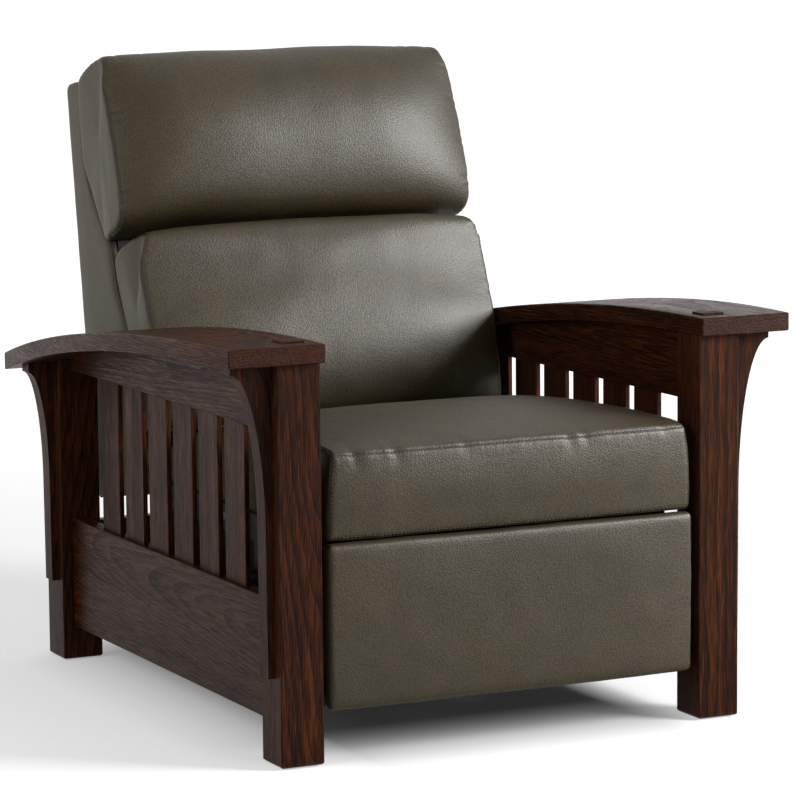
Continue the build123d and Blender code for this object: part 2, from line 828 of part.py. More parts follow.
def lift_links():
    """Short links from the torque tube's ends to the footrest brackets."""
    at = tongs()
    bar = link(at["lower"], at["lift"], LINK_RADIUS, CROSS_X, CROSS_X + STEEL)
    bar = bar - pin_hole(CROSS_X, at["lower"], PIN_CLEARANCE)
    return both(bar + pin(CROSS_X, BRACKET_X + STEEL, at["lift"]))


def footrest_back():
    """Y of the rear face of the footrest board."""
    return FOOTREST_FRONT_Y + FOOTREST_PAD + FOOTREST_BOARD


def footrest_brackets():
    """Angle brackets behind the footrest board, hung on the cross links and lift links."""
    at = tongs()
    y0 = footrest_back()
    x1 = BRACKET_X + STEEL
    flange = block(x1 - BRACKET_FLANGE, x1, y0, y0 + STEEL, BRACKET_BOTTOM, BRACKET_TOP)
    foot = block(BRACKET_X, x1, y0, y0 + BRACKET_FOOT, BRACKET_BOTTOM, BRACKET_TOP)
    web = link(at["upper"], at["lift"], LINK_RADIUS, BRACKET_X, x1)
    upper = at["upper"]
    lift = at["lift"]
    fill = outline([
        (y0, upper[1] + LINK_RADIUS),
        (y0, lift[1] - LINK_RADIUS),
        (lift[0], lift[1] - LINK_RADIUS),
        (upper[0], upper[1] + LINK_RADIUS),
    ])
    web = web + plate(fill, BRACKET_X, x1)
    bracket = flange + foot + web
    bracket = bracket - pin_hole(BRACKET_X, upper, PIN_CLEARANCE)
    return both(bracket - pin_hole(BRACKET_X, lift, OPEN_PIVOT_CLEARANCE))


def footrest_board():
    """Board behind the footrest's pad."""
    half = FOOTREST_HALF - FOOTREST_BOARD_INSET
    y1 = footrest_back()
    z0 = FOOTREST_BOTTOM + FOOTREST_BOARD_INSET
    z1 = FOOTREST_TOP - FOOTREST_BOARD_INSET
    board = block(-half, half, y1 - FOOTREST_BOARD, y1, z0, z1)
    return fillet(board.edges().filter_by(Axis.Y), FOOTREST_BOARD_CORNER)


# Seat frame

def seat_front_box():
    half = SEAT_HALF - SEAT_WOOD
    y1 = SEAT_FRONT_Y + SEAT_WOOD
    return half, SEAT_FRONT_Y, y1, SEAT_BOTTOM, SEAT_TOP, SEAT_TENON


def seat_rear_box():
    half = SEAT_HALF - SEAT_WOOD
    return half, SEAT_REAR_Y - SEAT_WOOD, SEAT_REAR_Y, SEAT_BOTTOM, SEAT_TOP, SEAT_TENON


def seat_side_rail():
    """Right side rail of the seat frame."""
    x0 = SEAT_HALF - SEAT_WOOD
    rail = block(x0, SEAT_HALF, SEAT_FRONT_Y, SEAT_REAR_Y, SEAT_SIDE_BOTTOM, SEAT_TOP)
    rail = rail - cross_tenons(*seat_front_box(), TENON_CLEARANCE / 2)
    rail = rail - cross_tenons(*seat_rear_box(), TENON_CLEARANCE / 2)
    return rail


def seat_webbing():
    """Straps crossing on top of the seat frame."""
    half = SEAT_HALF - WEBBING_INSET
    y0 = SEAT_FRONT_Y + WEBBING_INSET
    y1 = SEAT_REAR_Y - WEBBING_INSET
    z1 = SEAT_TOP + WEBBING_THICKNESS
    grid = None
    step = (2 * half - WEBBING_WIDTH) / (WEBBING_LENGTHWISE + 1)
    for n in range(WEBBING_LENGTHWISE):
        x0 = -half + (n + 1) * step
        strap = block(x0, x0 + WEBBING_WIDTH, y0, y1, SEAT_TOP, z1)
        grid = strap if grid is None else grid + strap
    step = (y1 - y0 - WEBBING_WIDTH) / (WEBBING_CROSSWISE + 1)
    for n in range(WEBBING_CROSSWISE):
        y = y0 + (n + 1) * step
        grid = grid + block(-half, half, y, y + WEBBING_WIDTH, SEAT_TOP, z1)
    return grid


def seat_stud(point):
    """Stud on a side plate for the top of a swing link."""
    collar = hex_head(SWING_COLLAR_RADIUS, PLATE_X, SWING_INNER_X - HEAD_GAP, point)
    head_x = SWING_OUTER_X + HEAD_GAP
    shank = rod(SWING_PIN_RADIUS, SEAT_HALF, head_x, point)
    head = hex_head(SWING_COLLAR_RADIUS, head_x, head_x + SWING_HEAD, point)
    return collar + shank + head


def hinge_pin():
    """Pin of the back's hinge on a side plate, inwards through the back's plate."""
    point = hinge_point()
    head_x = HINGE_PLATE_X - STEEL - HEAD_GAP
    shank = rod(HINGE_PIN_RADIUS, head_x, SEAT_HALF, point)
    return shank + hex_head(HINGE_HEAD_RADIUS, head_x - PIN_HEAD, head_x, point)


def side_plates():
    """Steel plates on the seat's side rails, which carry all the mechanism's pivots."""
    at = tongs()
    fixed = at["fixed"]
    guide = at["guide"]
    hinge = hinge_point()
    x0 = SEAT_HALF
    front = fixed[0] - GUIDE_HALF_WIDTH
    body = block(x0, PLATE_X, front, hinge[0], PLATE_BOTTOM, PLATE_TOP)
    foot = guide[1] - PIN_RADIUS - GUIDE_END
    rear = fixed[0] + GUIDE_HALF_WIDTH
    body = body + block(x0, PLATE_X, front, rear, foot, PLATE_TOP)
    body = body + rod(PLATE_EAR_RADIUS, x0, PLATE_X, hinge)
    for top in swing_tops():
        body = body + link(top, (top[0], PLATE_BOTTOM), SWING_RADIUS, x0, PLATE_X)
    open_drop = 2 * TONGS_HALF * math.sin(math.radians(TONGS_OPEN_ANGLE))
    slot_low = (guide[0], guide[1] - GUIDE_RUNOUT)
    slot_high = (guide[0], fixed[1] - open_drop + GUIDE_RUNOUT)
    slot_radius = PIN_RADIUS + OPEN_PIVOT_CLEARANCE
    body = body - link(slot_low, slot_high, slot_radius, x0 - OVERRUN, PLATE_X + OVERRUN)
    body = body + pin(x0, DRIVE_X + STEEL, fixed)
    for top in swing_tops():
        body = body + seat_stud(top)
    return both(body + hinge_pin())


# Back frame, drawn upright with depth forward from its rear face and height from its foot

def lean(shape):
    """A shape drawn upright, moved to its leaned place in the chair."""
    return Pos(0, BACK_FOOT_Y, BACK_FOOT_Z) * Rot(X=-BACK_LEAN) * shape


def hinge_point():
    """Place of (Y, Z) of the back's hinge."""
    angle = math.radians(BACK_LEAN)
    y = BACK_FOOT_Y - HINGE_DEPTH * math.cos(angle) + HINGE_HEIGHT * math.sin(angle)
    z = BACK_FOOT_Z + HINGE_DEPTH * math.sin(angle) + HINGE_HEIGHT * math.cos(angle)
    return y, z


def cover_front():
    """Corners of (depth, height) down the front edge of the back's side covers."""
    return [(depth * BACK_DEPTH, height * BACK_HEIGHT) for depth, height in BACK_FRONT_SHARES]


def cover_depth(height):
    """Depth of the back's side covers at a height."""
    corners = cover_front()
    for low, high in zip(corners, corners[1:]):
        if height <= high[1]:
            share = (height - low[1]) / (high[1] - low[1])
            return low[0] + share * (high[0] - low[0])
    return corners[-1][0]


def upright_plate(points, x0, x1):
    """Plate from corners of (depth, height), drawn upright."""
    return plate(outline([(-depth, height) for depth, height in points]), x0, x1)


def cover_outline(inset):
    """Corners of a back side: rear face straight, front edge shaped."""
    front = [(depth - inset, height) for depth, height in cover_front()]
    return [(BACK_PANEL, 0)] + front + [(BACK_PANEL, BACK_HEIGHT)]


def back_side_cover():
    """Right side cover, hollowed at its foot for the hinge."""
    cover = upright_plate(cover_outline(0), BACK_INNER_X, BACK_HALF)
    top = BACK_HEIGHT - BACK_PANEL
    cover = cover & block(BACK_INNER_X, BACK_HALF, -BACK_DEPTH, 0, 0, top)
    pocket = block(
        BACK_INNER_X - OVERRUN,
        BACK_HALF - BACK_COVER_SKIN,
        -BACK_DEPTH - OVERRUN,
        -BACK_PANEL,
        -OVERRUN,
        BACK_POCKET_TOP,
    )
    return lean(cover - pocket)


def back_top_box():
    z1 = BACK_HEIGHT - BACK_WOOD_FOOT
    y0 = -BACK_PANEL - BACK_TOP_RAIL_DEPTH
    half = BACK_INNER_X - BACK_WOOD
    return half, y0, -BACK_PANEL, z1 - BACK_RAIL_HEIGHT, z1, SEAT_TENON


def back_bottom_box():
    y0 = -BACK_PANEL - BACK_WOOD
    z1 = BACK_WOOD_FOOT + BACK_RAIL_HEIGHT
    half = BACK_INNER_X - BACK_WOOD
    return half, y0, -BACK_PANEL, BACK_WOOD_FOOT, z1, SEAT_TENON


def back_upright():
    """Right side board of the back frame."""
    x0 = BACK_INNER_X - BACK_WOOD
    board = upright_plate(cover_outline(BACK_WOOD_INSET), x0, BACK_INNER_X)
    top = BACK_HEIGHT - BACK_WOOD_FOOT
    kept = block(x0, BACK_INNER_X, -BACK_WOOD_FOOT_DEPTH, 0, BACK_WOOD_FOOT, top)
    board = board & kept
    board = board - cross_tenons(*back_top_box(), TENON_CLEARANCE / 2)
    board = board - cross_tenons(*back_bottom_box(), TENON_CLEARANCE / 2)
    return lean(board)


def outside_back():
    """Panel over the rear of the back, turned forward over its top."""
    top_depth = cover_front()[-1][0]
    panel = block(-BACK_HALF, BACK_HALF, -BACK_PANEL, 0, 0, BACK_HEIGHT)
    cap_z = BACK_HEIGHT - BACK_PANEL
    panel = panel + block(-BACK_HALF, BACK_HALF, -top_depth, 0, cap_z, BACK_HEIGHT)
    rear = panel.faces().sort_by(Axis.Y)[-1]
    panel = fillet(rear.edges(), BACK_PANEL_EDGE)
    return lean(panel)


def wood_depth(height):
    """Depth of the front edge of the back's side boards at a height."""
    return min(BACK_WOOD_FOOT_DEPTH, cover_depth(height) - BACK_WOOD_INSET)


def back_strap(z0):
    """Strap across the front edges of the back's side boards, from a height."""
    z1 = z0 + BACK_STRAP
    low = wood_depth(z0)
    high = wood_depth(z1)
    points = [
        (low, z0),
        (low + WEBBING_THICKNESS, z0),
        (high + WEBBING_THICKNESS, z1),
        (high, z1),
    ]
    half = BACK_INNER_X - WEBBING_INSET
    return upright_plate(points, -half, half)


def back_webbing():
    """Straps that carry the back cushions."""
    straps = [back_strap(share * BACK_HEIGHT) for share in BACK_STRAP_SHARES]
    return lean(Compound(children=[solid for strap in straps for solid in strap.solids()]))


def back_hinge_plates():
    """Steel plates on the back's side boards, turning on the side plates' hinge pins."""
    x0 = HINGE_PLATE_X - STEEL
    x1 = HINGE_PLATE_X
    y0 = -BACK_WOOD_FOOT_DEPTH
    hinge = (-HINGE_DEPTH, HINGE_HEIGHT)
    root = (y0 + HINGE_PLATE_DEPTH / 2, BACK_WOOD_FOOT + HINGE_EAR_RADIUS + HINGE_HEIGHT)
    body = block(x0, x1, y0, y0 + HINGE_PLATE_DEPTH, BACK_WOOD_FOOT, HINGE_PLATE_TOP)
    body = body + link(root, hinge, HINGE_EAR_RADIUS, x0, x1)
    body = body - rod(HINGE_PIN_RADIUS + PIN_CLEARANCE, x0 - OVERRUN, x1 + OVERRUN, hinge)
    return both(lean(body))


# Cushions

def bulged_edge(start, end, bulge):
    """Straight edge, or an arc that bulges outwards by a share of its length."""
    if bulge == 0:
        return Line(start, end)
    middle_y = (start[0] + end[0]) / 2 - (end[1] - start[1]) * bulge
    middle_z = (start[1] + end[1]) / 2 + (end[0] - start[0]) * bulge
    return ThreePointArc(start, (middle_y, middle_z), end)


def cushion_face(points):
    """Cushion outline from corners of (Y, Z) and the bulge of the edge after each."""
    following = points[1:] + points[:1]
    edges = [bulged_edge(a[:2], b[:2], a[2]) for a, b in zip(points, following)]
    return side_face(edges)


def blend(side, middle, share):
    """Outline part of the way from the side seam's to the middle's."""
    return [tuple(a + (b - a) * share for a, b in zip(p, q)) for p, q in zip(side, middle)]


def shrunk(points, share):
    """Outline shrunk about the middle of its corners."""
    mid_y = sum(point[0] for point in points) / len(points)
    mid_z = sum(point[1] for point in points) / len(points)
    keep = 1 - share
    return [(mid_y + (y - mid_y) * keep, mid_z + (z - mid_z) * keep, b) for y, z, b in points]


def cushion(half, side, middle, end_shrink):
    """Crowned cushion lofted through outlines across the chair."""
    left = [(-station, draw) for station, draw in STATION_SHARES[:0:-1]]
    faces = []
    for station, draw in left + STATION_SHARES:
        points = blend(side, middle, 1 - abs(station)**3)
        points = shrunk(points, end_shrink * draw)
        faces.append(Pos(X=station * half) * cushion_face(points))
    return loft(faces, ruled=True)


def level_band(z0, z1):
    """Wide space between two heights, which trims a cushion."""
    reach = SEAT_CUSHION_LENGTH
    return block(-reach, reach, -reach, reach + BACK_FOOT_Y, z0, z1)


def space_behind_cushions():
    """Space that the back's covers take, with the gap that the cushions keep, upright."""
    points = [(depth + CUSHION_GAP, height) for depth, height in cover_front()]
    foot = [(0, -OVERRUN), (points[0][0], -OVERRUN)]
    top = [(points[-1][0], BACK_HEIGHT + OVERRUN), (0, BACK_HEIGHT + OVERRUN)]
    return upright_plate(foot + points[1:-1] + top, -HEAD_HALF - OVERRUN, HEAD_HALF + OVERRUN)


def seat_cushion():
    base = SEAT_TOP + WEBBING_THICKNESS + CUSHION_GAP

    def place(rows):
        """Corners in the chair from shares of the cushion's length and height."""
        return [
            (SEAT_CUSHION_FRONT_Y + y * SEAT_CUSHION_LENGTH, base + z * SEAT_CUSHION_HEIGHT, b)
            for y, z, b in rows
        ]

    side = place(SEAT_SIDE_SHARES)
    body = cushion(SEAT_CUSHION_HALF, side, place(SEAT_MIDDLE_SHARES), END_SHRINK_SHARE)
    return body & level_band(base, base + 2 * SEAT_CUSHION_HEIGHT)


def behind(heights):
    """Rear corners of a back cushion against the side covers, at given heights."""
    return [(-cover_depth(height) - CUSHION_GAP, height, 0.0) for height in heights]


def back_outline(rows, top, bottom):
    """Outline of a back cushion, closed at the rear by the covers' front edge."""
    front = [(-depth * BACK_DEPTH, height * BACK_HEIGHT, b) for depth, height, b in rows]
    kinks = [height for _, height in cover_front() if bottom < height < top]
    return behind([bottom]) + front + behind([top] + kinks[::-1])


def lumbar_cushion():
    top = LUMBAR_SIDE_SHARES[-1][1] * BACK_HEIGHT
    bottom = LUMBAR_SIDE_SHARES[0][1] * BACK_HEIGHT
    side = back_outline(LUMBAR_SIDE_SHARES, top - CREASE_DROP, bottom)
    middle = back_outline(LUMBAR_MIDDLE_SHARES, top - CREASE_DROP, bottom)
    body = cushion(LUMBAR_HALF, side, middle, END_SHRINK_SHARE)
    return lean((body & level_band(bottom, top)) - space_behind_cushions())


def head_cushion():
    top = BACK_HEIGHT - BACK_PANEL
    bottom = HEAD_SIDE_SHARES[0][1] * BACK_HEIGHT - CREASE_DROP
    side = back_outline(HEAD_SIDE_SHARES, top, bottom)
    middle = back_outline(HEAD_MIDDLE_SHARES, top, bottom)
    body = cushion(HEAD_HALF, side, middle, END_SHRINK_SHARE)
    return lean((body & level_band(bottom, 2 * BACK_HEIGHT)) - space_behind_cushions())


def footrest_pad():
    height = FOOTREST_TOP - FOOTREST_BOTTOM
    depth = FOOTREST_PAD - CUSHION_GAP

    def place(rows):
        """Corners in the chair from shares of the pad's depth and height."""
        return [
            (FOOTREST_FRONT_Y + y * depth, FOOTREST_BOTTOM + z * height, b) for y, z, b in rows
        ]

    side = place(PAD_SIDE_SHARES)
    body = cushion(FOOTREST_HALF, side, place(PAD_MIDDLE_SHARES), PAD_END_SHRINK_SHARE)
    half = FOOTREST_HALF + OVERRUN
    y0 = 2 * FOOTREST_FRONT_Y
    kept = block(-half, half, y0, FOOTREST_FRONT_Y + depth, 0, 2 * FOOTREST_TOP)
    return body & kept


# Nodes

def paired():
    """Pieces that exist once on each side, drawn for the right side."""
    pieces = {
        "front_post": front_post(),
        "rear_post": rear_post(),
        "arm": arm(),
        "upper_side_rail": upper_side_rail(),
        "lower_side_rail": lower_side_rail(),
        "front_corbel": front_corbel(),
        "rear_corbel": rear_corbel(),
        "seat_side_rail": seat_side_rail(),
        "back_upright": back_upright(),
        "back_side_cover": back_side_cover(),
    }
    nodes = {}
    for name, piece in pieces.items():
        nodes[f"{name}_right"] = piece
        nodes[f"{name}_left"] = left_of(piece)
    for index in range(SLAT_COUNT):
        board = slat(index)
        nodes[f"side_slat_right_{index + 1}"] = board
        nodes[f"side_slat_left_{index + 1}"] = left_of(board)
    return nodes


def single():
    """Pieces that are one node for the whole chair."""
    return {
        "front_stretcher": cross_rail(*front_stretcher_box()),
        "rear_stretcher": cross_rail(*rear_stretcher_box()),
        "floor_glides": floor_glides(),
        "base_rails": base_rails(),
        "cross_tube": cross_tube(),
        "seat_front_rail": cross_rail(*seat_front_box()),
        "seat_rear_rail": cross_rail(*seat_rear_box()),
        "seat_webbing": seat_webbing(),
        "seat_cushion": seat_cushion(),
        "side_plates": side_plates(),
        "front_swing_links": swing_link(0),
        "rear_swing_links": swing_link(1),
        "back_top_rail": lean(cross_rail(*back_top_box())),
        "back_bottom_rail": lean(cross_rail(*back_bottom_box())),
        "back_webbing": back_webbing(),
        "outside_back": outside_back(),
        "back_hinge_plates": back_hinge_plates(),
        "lumbar_cushion": lumbar_cushion(),
        "head_cushion": head_cushion(),
        "drive_links": drive_links(),
        "torque_tube": torque_tube(),
        "cross_links": cross_links(),
        "lift_links": lift_links(),
        "footrest_brackets": footrest_brackets(),
        "footrest_board": footrest_board(),
        "footrest_pad": footrest_pad(),
    }


def main():
    nodes = paired() | single()
    boxes = [node.bounding_box() for node in nodes.values()]
    front = min(box.min.Y for box in boxes)
    rear = max(box.max.Y for box in boxes)
    shift = -(front + rear) / 2
    os.makedirs("parts", exist_ok=True)
    for name, node in nodes.items():
        export_step(Pos(Y=shift) * node, f"parts/{name}.step")
    spots = dict(tongs())
    spots["hinge"] = hinge_point()
    spots["front_foot"], spots["rear_foot"] = swing_feet()
    spots["front_top"], spots["rear_top"] = swing_tops()
    for name, (y, z) in spots.items():
        print("pivot", name, round(y + shift, 4), round(z, 4))
    print("shift", round(shift, 4), "height", round(max(box.max.Z for box in boxes), 2))


main()
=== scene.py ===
import math

import bpy
import bmesh
import numpy as np
from mathutils import Matrix, Vector, noise
from mathutils.bvhtree import BVHTree
from mathutils.kdtree import KDTree

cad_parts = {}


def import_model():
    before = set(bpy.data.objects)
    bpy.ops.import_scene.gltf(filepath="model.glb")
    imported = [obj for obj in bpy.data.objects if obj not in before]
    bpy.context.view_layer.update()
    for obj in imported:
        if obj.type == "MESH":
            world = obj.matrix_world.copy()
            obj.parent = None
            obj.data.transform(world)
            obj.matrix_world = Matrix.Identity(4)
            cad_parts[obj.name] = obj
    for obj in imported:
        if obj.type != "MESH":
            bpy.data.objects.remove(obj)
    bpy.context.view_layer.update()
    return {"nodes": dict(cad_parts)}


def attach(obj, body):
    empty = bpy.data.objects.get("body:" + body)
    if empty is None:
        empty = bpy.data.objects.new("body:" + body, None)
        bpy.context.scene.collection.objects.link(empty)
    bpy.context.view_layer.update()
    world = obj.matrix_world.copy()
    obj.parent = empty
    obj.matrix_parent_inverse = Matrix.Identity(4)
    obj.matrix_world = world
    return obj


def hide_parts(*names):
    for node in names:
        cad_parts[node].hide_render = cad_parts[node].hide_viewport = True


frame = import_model()
NODES = frame["nodes"]
SHIFT_Y = -0.5197982  # from the front faces of the front posts to the frame's origin
SIDES = (("left", -1.0), ("right", 1.0))


# Small helpers

def link_object(name, mesh):
    obj = bpy.data.objects.new(name, mesh)
    bpy.context.scene.collection.objects.link(obj)
    return obj


def mesh_object(name, verts, faces, smooth=True):
    mesh = bpy.data.meshes.new(name)
    mesh.from_pydata([tuple(v) for v in verts], [], faces)
    mesh.validate()
    mesh.polygons.foreach_set("use_smooth", [smooth] * len(mesh.polygons))
    mesh.update()
    return link_object(name, mesh)


def coords(obj):
    co = np.zeros(len(obj.data.vertices) * 3)
    obj.data.vertices.foreach_get("co", co)
    return co.reshape(-1, 3)


def set_coords(obj, co):
    obj.data.vertices.foreach_set("co", np.ascontiguousarray(co, float).ravel())
    obj.data.update()


def vertex_normals(obj):
    n = np.zeros(len(obj.data.vertices) * 3)
    obj.data.vertices.foreach_get("normal", n)
    return n.reshape(-1, 3)


def bake_modifiers(obj):
    """Replaces the object's mesh by the one its modifiers make."""
    deps = bpy.context.evaluated_depsgraph_get()
    made = bpy.data.meshes.new_from_object(obj.evaluated_get(deps))
    old = obj.data
    obj.modifiers.clear()
    obj.data = made
    bpy.data.meshes.remove(old)
    return obj


def remesh(obj, size):
    mod = obj.modifiers.new("Remesh", "REMESH")
    mod.mode = "VOXEL"
    mod.voxel_size = size
    mod.use_smooth_shade = True
    return bake_modifiers(obj)


def smoothed(obj, factor, times):
    mod = obj.modifiers.new("Smooth", "SMOOTH")
    mod.factor = factor
    mod.iterations = times
    return bake_modifiers(obj)


def subdivided(obj, levels=1):
    mod = obj.modifiers.new("Subdivision", "SUBSURF")
    mod.levels = levels
    mod.render_levels = levels
    return bake_modifiers(obj)


# Node helpers

class Nodes:
    """Short way to build a material's node tree."""

    def __init__(self, name):
        self.mat = bpy.data.materials.new(name)
        self.mat.use_nodes = True
        self.tree = self.mat.node_tree
        self.tree.nodes.clear()
        self.out = self.add("ShaderNodeOutputMaterial")

    def add(self, kind, **settings):
        node = self.tree.nodes.new(kind)
        for key, value in settings.items():
            setattr(node, key, value)
        return node

    def link(self, a, b):
        self.tree.links.new(a, b)

    def put(self, node, name, value):
        socket = node.inputs[name]
        if isinstance(value, bpy.types.NodeSocket):
            self.link(value, socket)
        else:
            socket.default_value = value

    def source(self):
        """Object coordinates, in metres."""
        return self.add("ShaderNodeTexCoord").outputs["Object"]

    def mapped(self, vector, scale, offset=(0.0, 0.0, 0.0), turn=(0.0, 0.0, 0.0)):
        node = self.add("ShaderNodeMapping")
        self.link(vector, node.inputs["Vector"])
        node.inputs["Scale"].default_value = scale
        node.inputs["Location"].default_value = offset
        node.inputs["Rotation"].default_value = turn
        return node.outputs["Vector"]

    def bent(self, vector, scale, offset, amount):
        """Coordinates pushed about by a soft noise."""
        wobble = self.add("ShaderNodeTexNoise")
        self.link(self.mapped(vector, scale, offset), wobble.inputs["Vector"])
        wobble.inputs["Scale"].default_value = 1.0
        wobble.inputs["Detail"].default_value = 1.0
        push = self.add("ShaderNodeVectorMath", operation="MULTIPLY_ADD")
        self.link(wobble.outputs["Color"], push.inputs[0])
        push.inputs[1].default_value = amount
        self.link(vector, push.inputs[2])
        return push.outputs[0]

    def noise(self, vector, scale, detail=3.0, rough=0.55, distort=0.0):
        node = self.add("ShaderNodeTexNoise")
        self.put(node, "Vector", vector)
        self.put(node, "Scale", scale)
        self.put(node, "Detail", detail)
        self.put(node, "Roughness", rough)
        self.put(node, "Distortion", distort)
        return node.outputs["Fac"]

    def cells(self, vector, scale, feature="F1", rand=1.0):
        node = self.add("ShaderNodeTexVoronoi", feature=feature)
        self.put(node, "Vector", vector)
        self.put(node, "Scale", scale)
        self.put(node, "Randomness", rand)
        return node.outputs["Distance"]

    def math(self, op, a, b=0.5, clamp=False):
        node = self.add("ShaderNodeMath", operation=op, use_clamp=clamp)
        for index, value in enumerate((a, b)):
            if isinstance(value, bpy.types.NodeSocket):
                self.link(value, node.inputs[index])
            else:
                node.inputs[index].default_value = value
        return node.outputs[0]

    def ramp(self, fac, stops, mode="LINEAR"):
        node = self.add("ShaderNodeValToRGB")
        node.color_ramp.interpolation = mode
        elements = node.color_ramp.elements
        while len(elements) > 1:
            elements.remove(elements[-1])
        elements[0].position = stops[0][0]
        elements[0].color = (*stops[0][1], 1.0)
        for position, colour in stops[1:]:
            elements.new(position).color = (*colour, 1.0)
        self.link(fac, node.inputs["Fac"])
        return node.outputs["Color"]

    def span(self, value, from_low, from_high, to_low=0.0, to_high=1.0):
        node = self.add("ShaderNodeMapRange")
        self.put(node, "Value", value)
        node.inputs["From Min"].default_value = from_low
        node.inputs["From Max"].default_value = from_high
        node.inputs["To Min"].default_value = to_low
        node.inputs["To Max"].default_value = to_high
        return node.outputs["Result"]

    def mix(self, fac, a, b, mode="MIX"):
        node = self.add("ShaderNodeMix", data_type="RGBA", blend_type=mode)
        for index, value in ((0, fac), (6, a), (7, b)):
            if isinstance(value, bpy.types.NodeSocket):
                self.link(value, node.inputs[index])
            elif index == 0:
                node.inputs[0].default_value = value
            else:
                node.inputs[index].default_value = (*value, 1.0)
        return node.outputs[2]

    def bump(self, height, strength, distance, below=None):
        node = self.add("ShaderNodeBump")
        self.link(height, node.inputs["Height"])
        node.inputs["Strength"].default_value = strength
        node.inputs["Distance"].default_value = distance
        if below is not None:
            self.link(below, node.inputs["Normal"])
        return node.outputs["Normal"]

    def shader(self, colour, rough, normal=None, **fixed):
        node = self.add("ShaderNodeBsdfPrincipled")
        self.put(node, "Base Color", colour if isinstance(colour, bpy.types.NodeSocket) else (*colour, 1.0))
        self.put(node, "Roughness", rough)
        if normal is not None:
            self.link(normal, node.inputs["Normal"])
        for key, value in fixed.items():
            node.inputs[key.replace("_", " ")].default_value = value
        self.link(node.outputs[0], self.out.inputs["Surface"])
        return self.mat


# Materials

AXES = {"X": 0, "Y": 1, "Z": 2}
RINGS = 210.0  # growth rings a metre
GRAIN_CELLS = 400.0  # pebbles of the leather a metre
GRAIN_DEPTH = 0.00055


def along(axis, across, length):
    """Scale of a pattern across the grain and along it."""
    scale = [across, across, across]
    scale[AXES[axis]] = length
    return tuple(scale)


def oak(name, axis, seed, pith=(0.09, 0.05), dark=1.0):
    """Dark stained oak whose grain runs along one axis, cut beside its own pith.

    pith is where the middle of the log lies from the board, across the grain, in metres.
    """
    n = Nodes(name)
    rng = np.random.default_rng(seed)
    offset = tuple(rng.uniform(-3.0, 3.0, 3))
    # wander of the grain: slow across the board, and a small crinkle
    slow = n.bent(n.source(), along(axis, 13.0, 3.0), offset, along(axis, 0.012, 0.0))
    bent = n.bent(slow, along(axis, 60.0, 16.0), offset, along(axis, 0.0018, 0.0))
    # growth rings round a pith that leans a little from the board
    tilt = [math.radians(v) for v in rng.uniform(-3.5, 3.5, 3)]
    leaned = n.mapped(bent, (1.0, 1.0, 1.0), (0.0, 0.0, 0.0), tilt)
    cross = [i for i in range(3) if i != AXES[axis]]
    centre = [0.0, 0.0, 0.0]
    centre[cross[0]], centre[cross[1]] = -pith[0], -pith[1]
    flat = n.mapped(leaned, along(axis, 1.0, 0.0), centre)
    length = n.add("ShaderNodeVectorMath", operation="LENGTH")
    n.link(flat, length.inputs[0])
    ring = n.math("FRACT", n.math("MULTIPLY", length.outputs["Value"], RINGS))
    ring = n.math("POWER", ring, 1.6)
    # open pores drawn out along the grain, and fine fibre
    streak = n.noise(n.mapped(bent, along(axis, 700.0, 22.0), offset), 1.0, 2.0, 0.55)
    fibre = n.noise(n.mapped(bent, along(axis, 1500.0, 60.0), offset), 1.0, 1.0, 0.5)
    broad = n.noise(n.mapped(bent, along(axis, 60.0, 2.0), offset), 1.0, 3.0, 0.55)
    cloud = n.noise(n.mapped(n.source(), (7.0, 7.0, 7.0), offset), 1.0, 2.0, 0.5)
    tone = n.math("ADD", n.math("MULTIPLY", streak, 0.62), n.math("MULTIPLY", broad, 0.26))
    tone = n.math("ADD", tone, n.math("MULTIPLY", fibre, 0.12))
    tone = n.math("SUBTRACT", tone, n.math("MULTIPLY", n.math("SUBTRACT", ring, 0.38), 0.13))
    tone = n.math("ADD", tone, n.math("MULTIPLY", n.math("SUBTRACT", cloud, 0.5), 0.10))
    colour = n.ramp(
        tone,
        [
            (0.34, (0.0042 * dark, 0.0012 * dark, 0.0004 * dark)),
            (0.44, (0.0120 * dark, 0.0033 * dark, 0.0008 * dark)),
            (0.53, (0.0300 * dark, 0.0082 * dark, 0.0020 * dark)),
            (0.66, (0.0800 * dark, 0.0230 * dark, 0.0062 * dark)),
        ],
    )
    height = n.span(tone, 0.36, 0.56)
    normal = n.bump(height, 0.5, 0.0005)
    rough = n.span(tone, 0.36, 0.62, 0.46, 0.27)
    return n.shader(colour, rough, normal, Specular_IOR_Level=0.055)


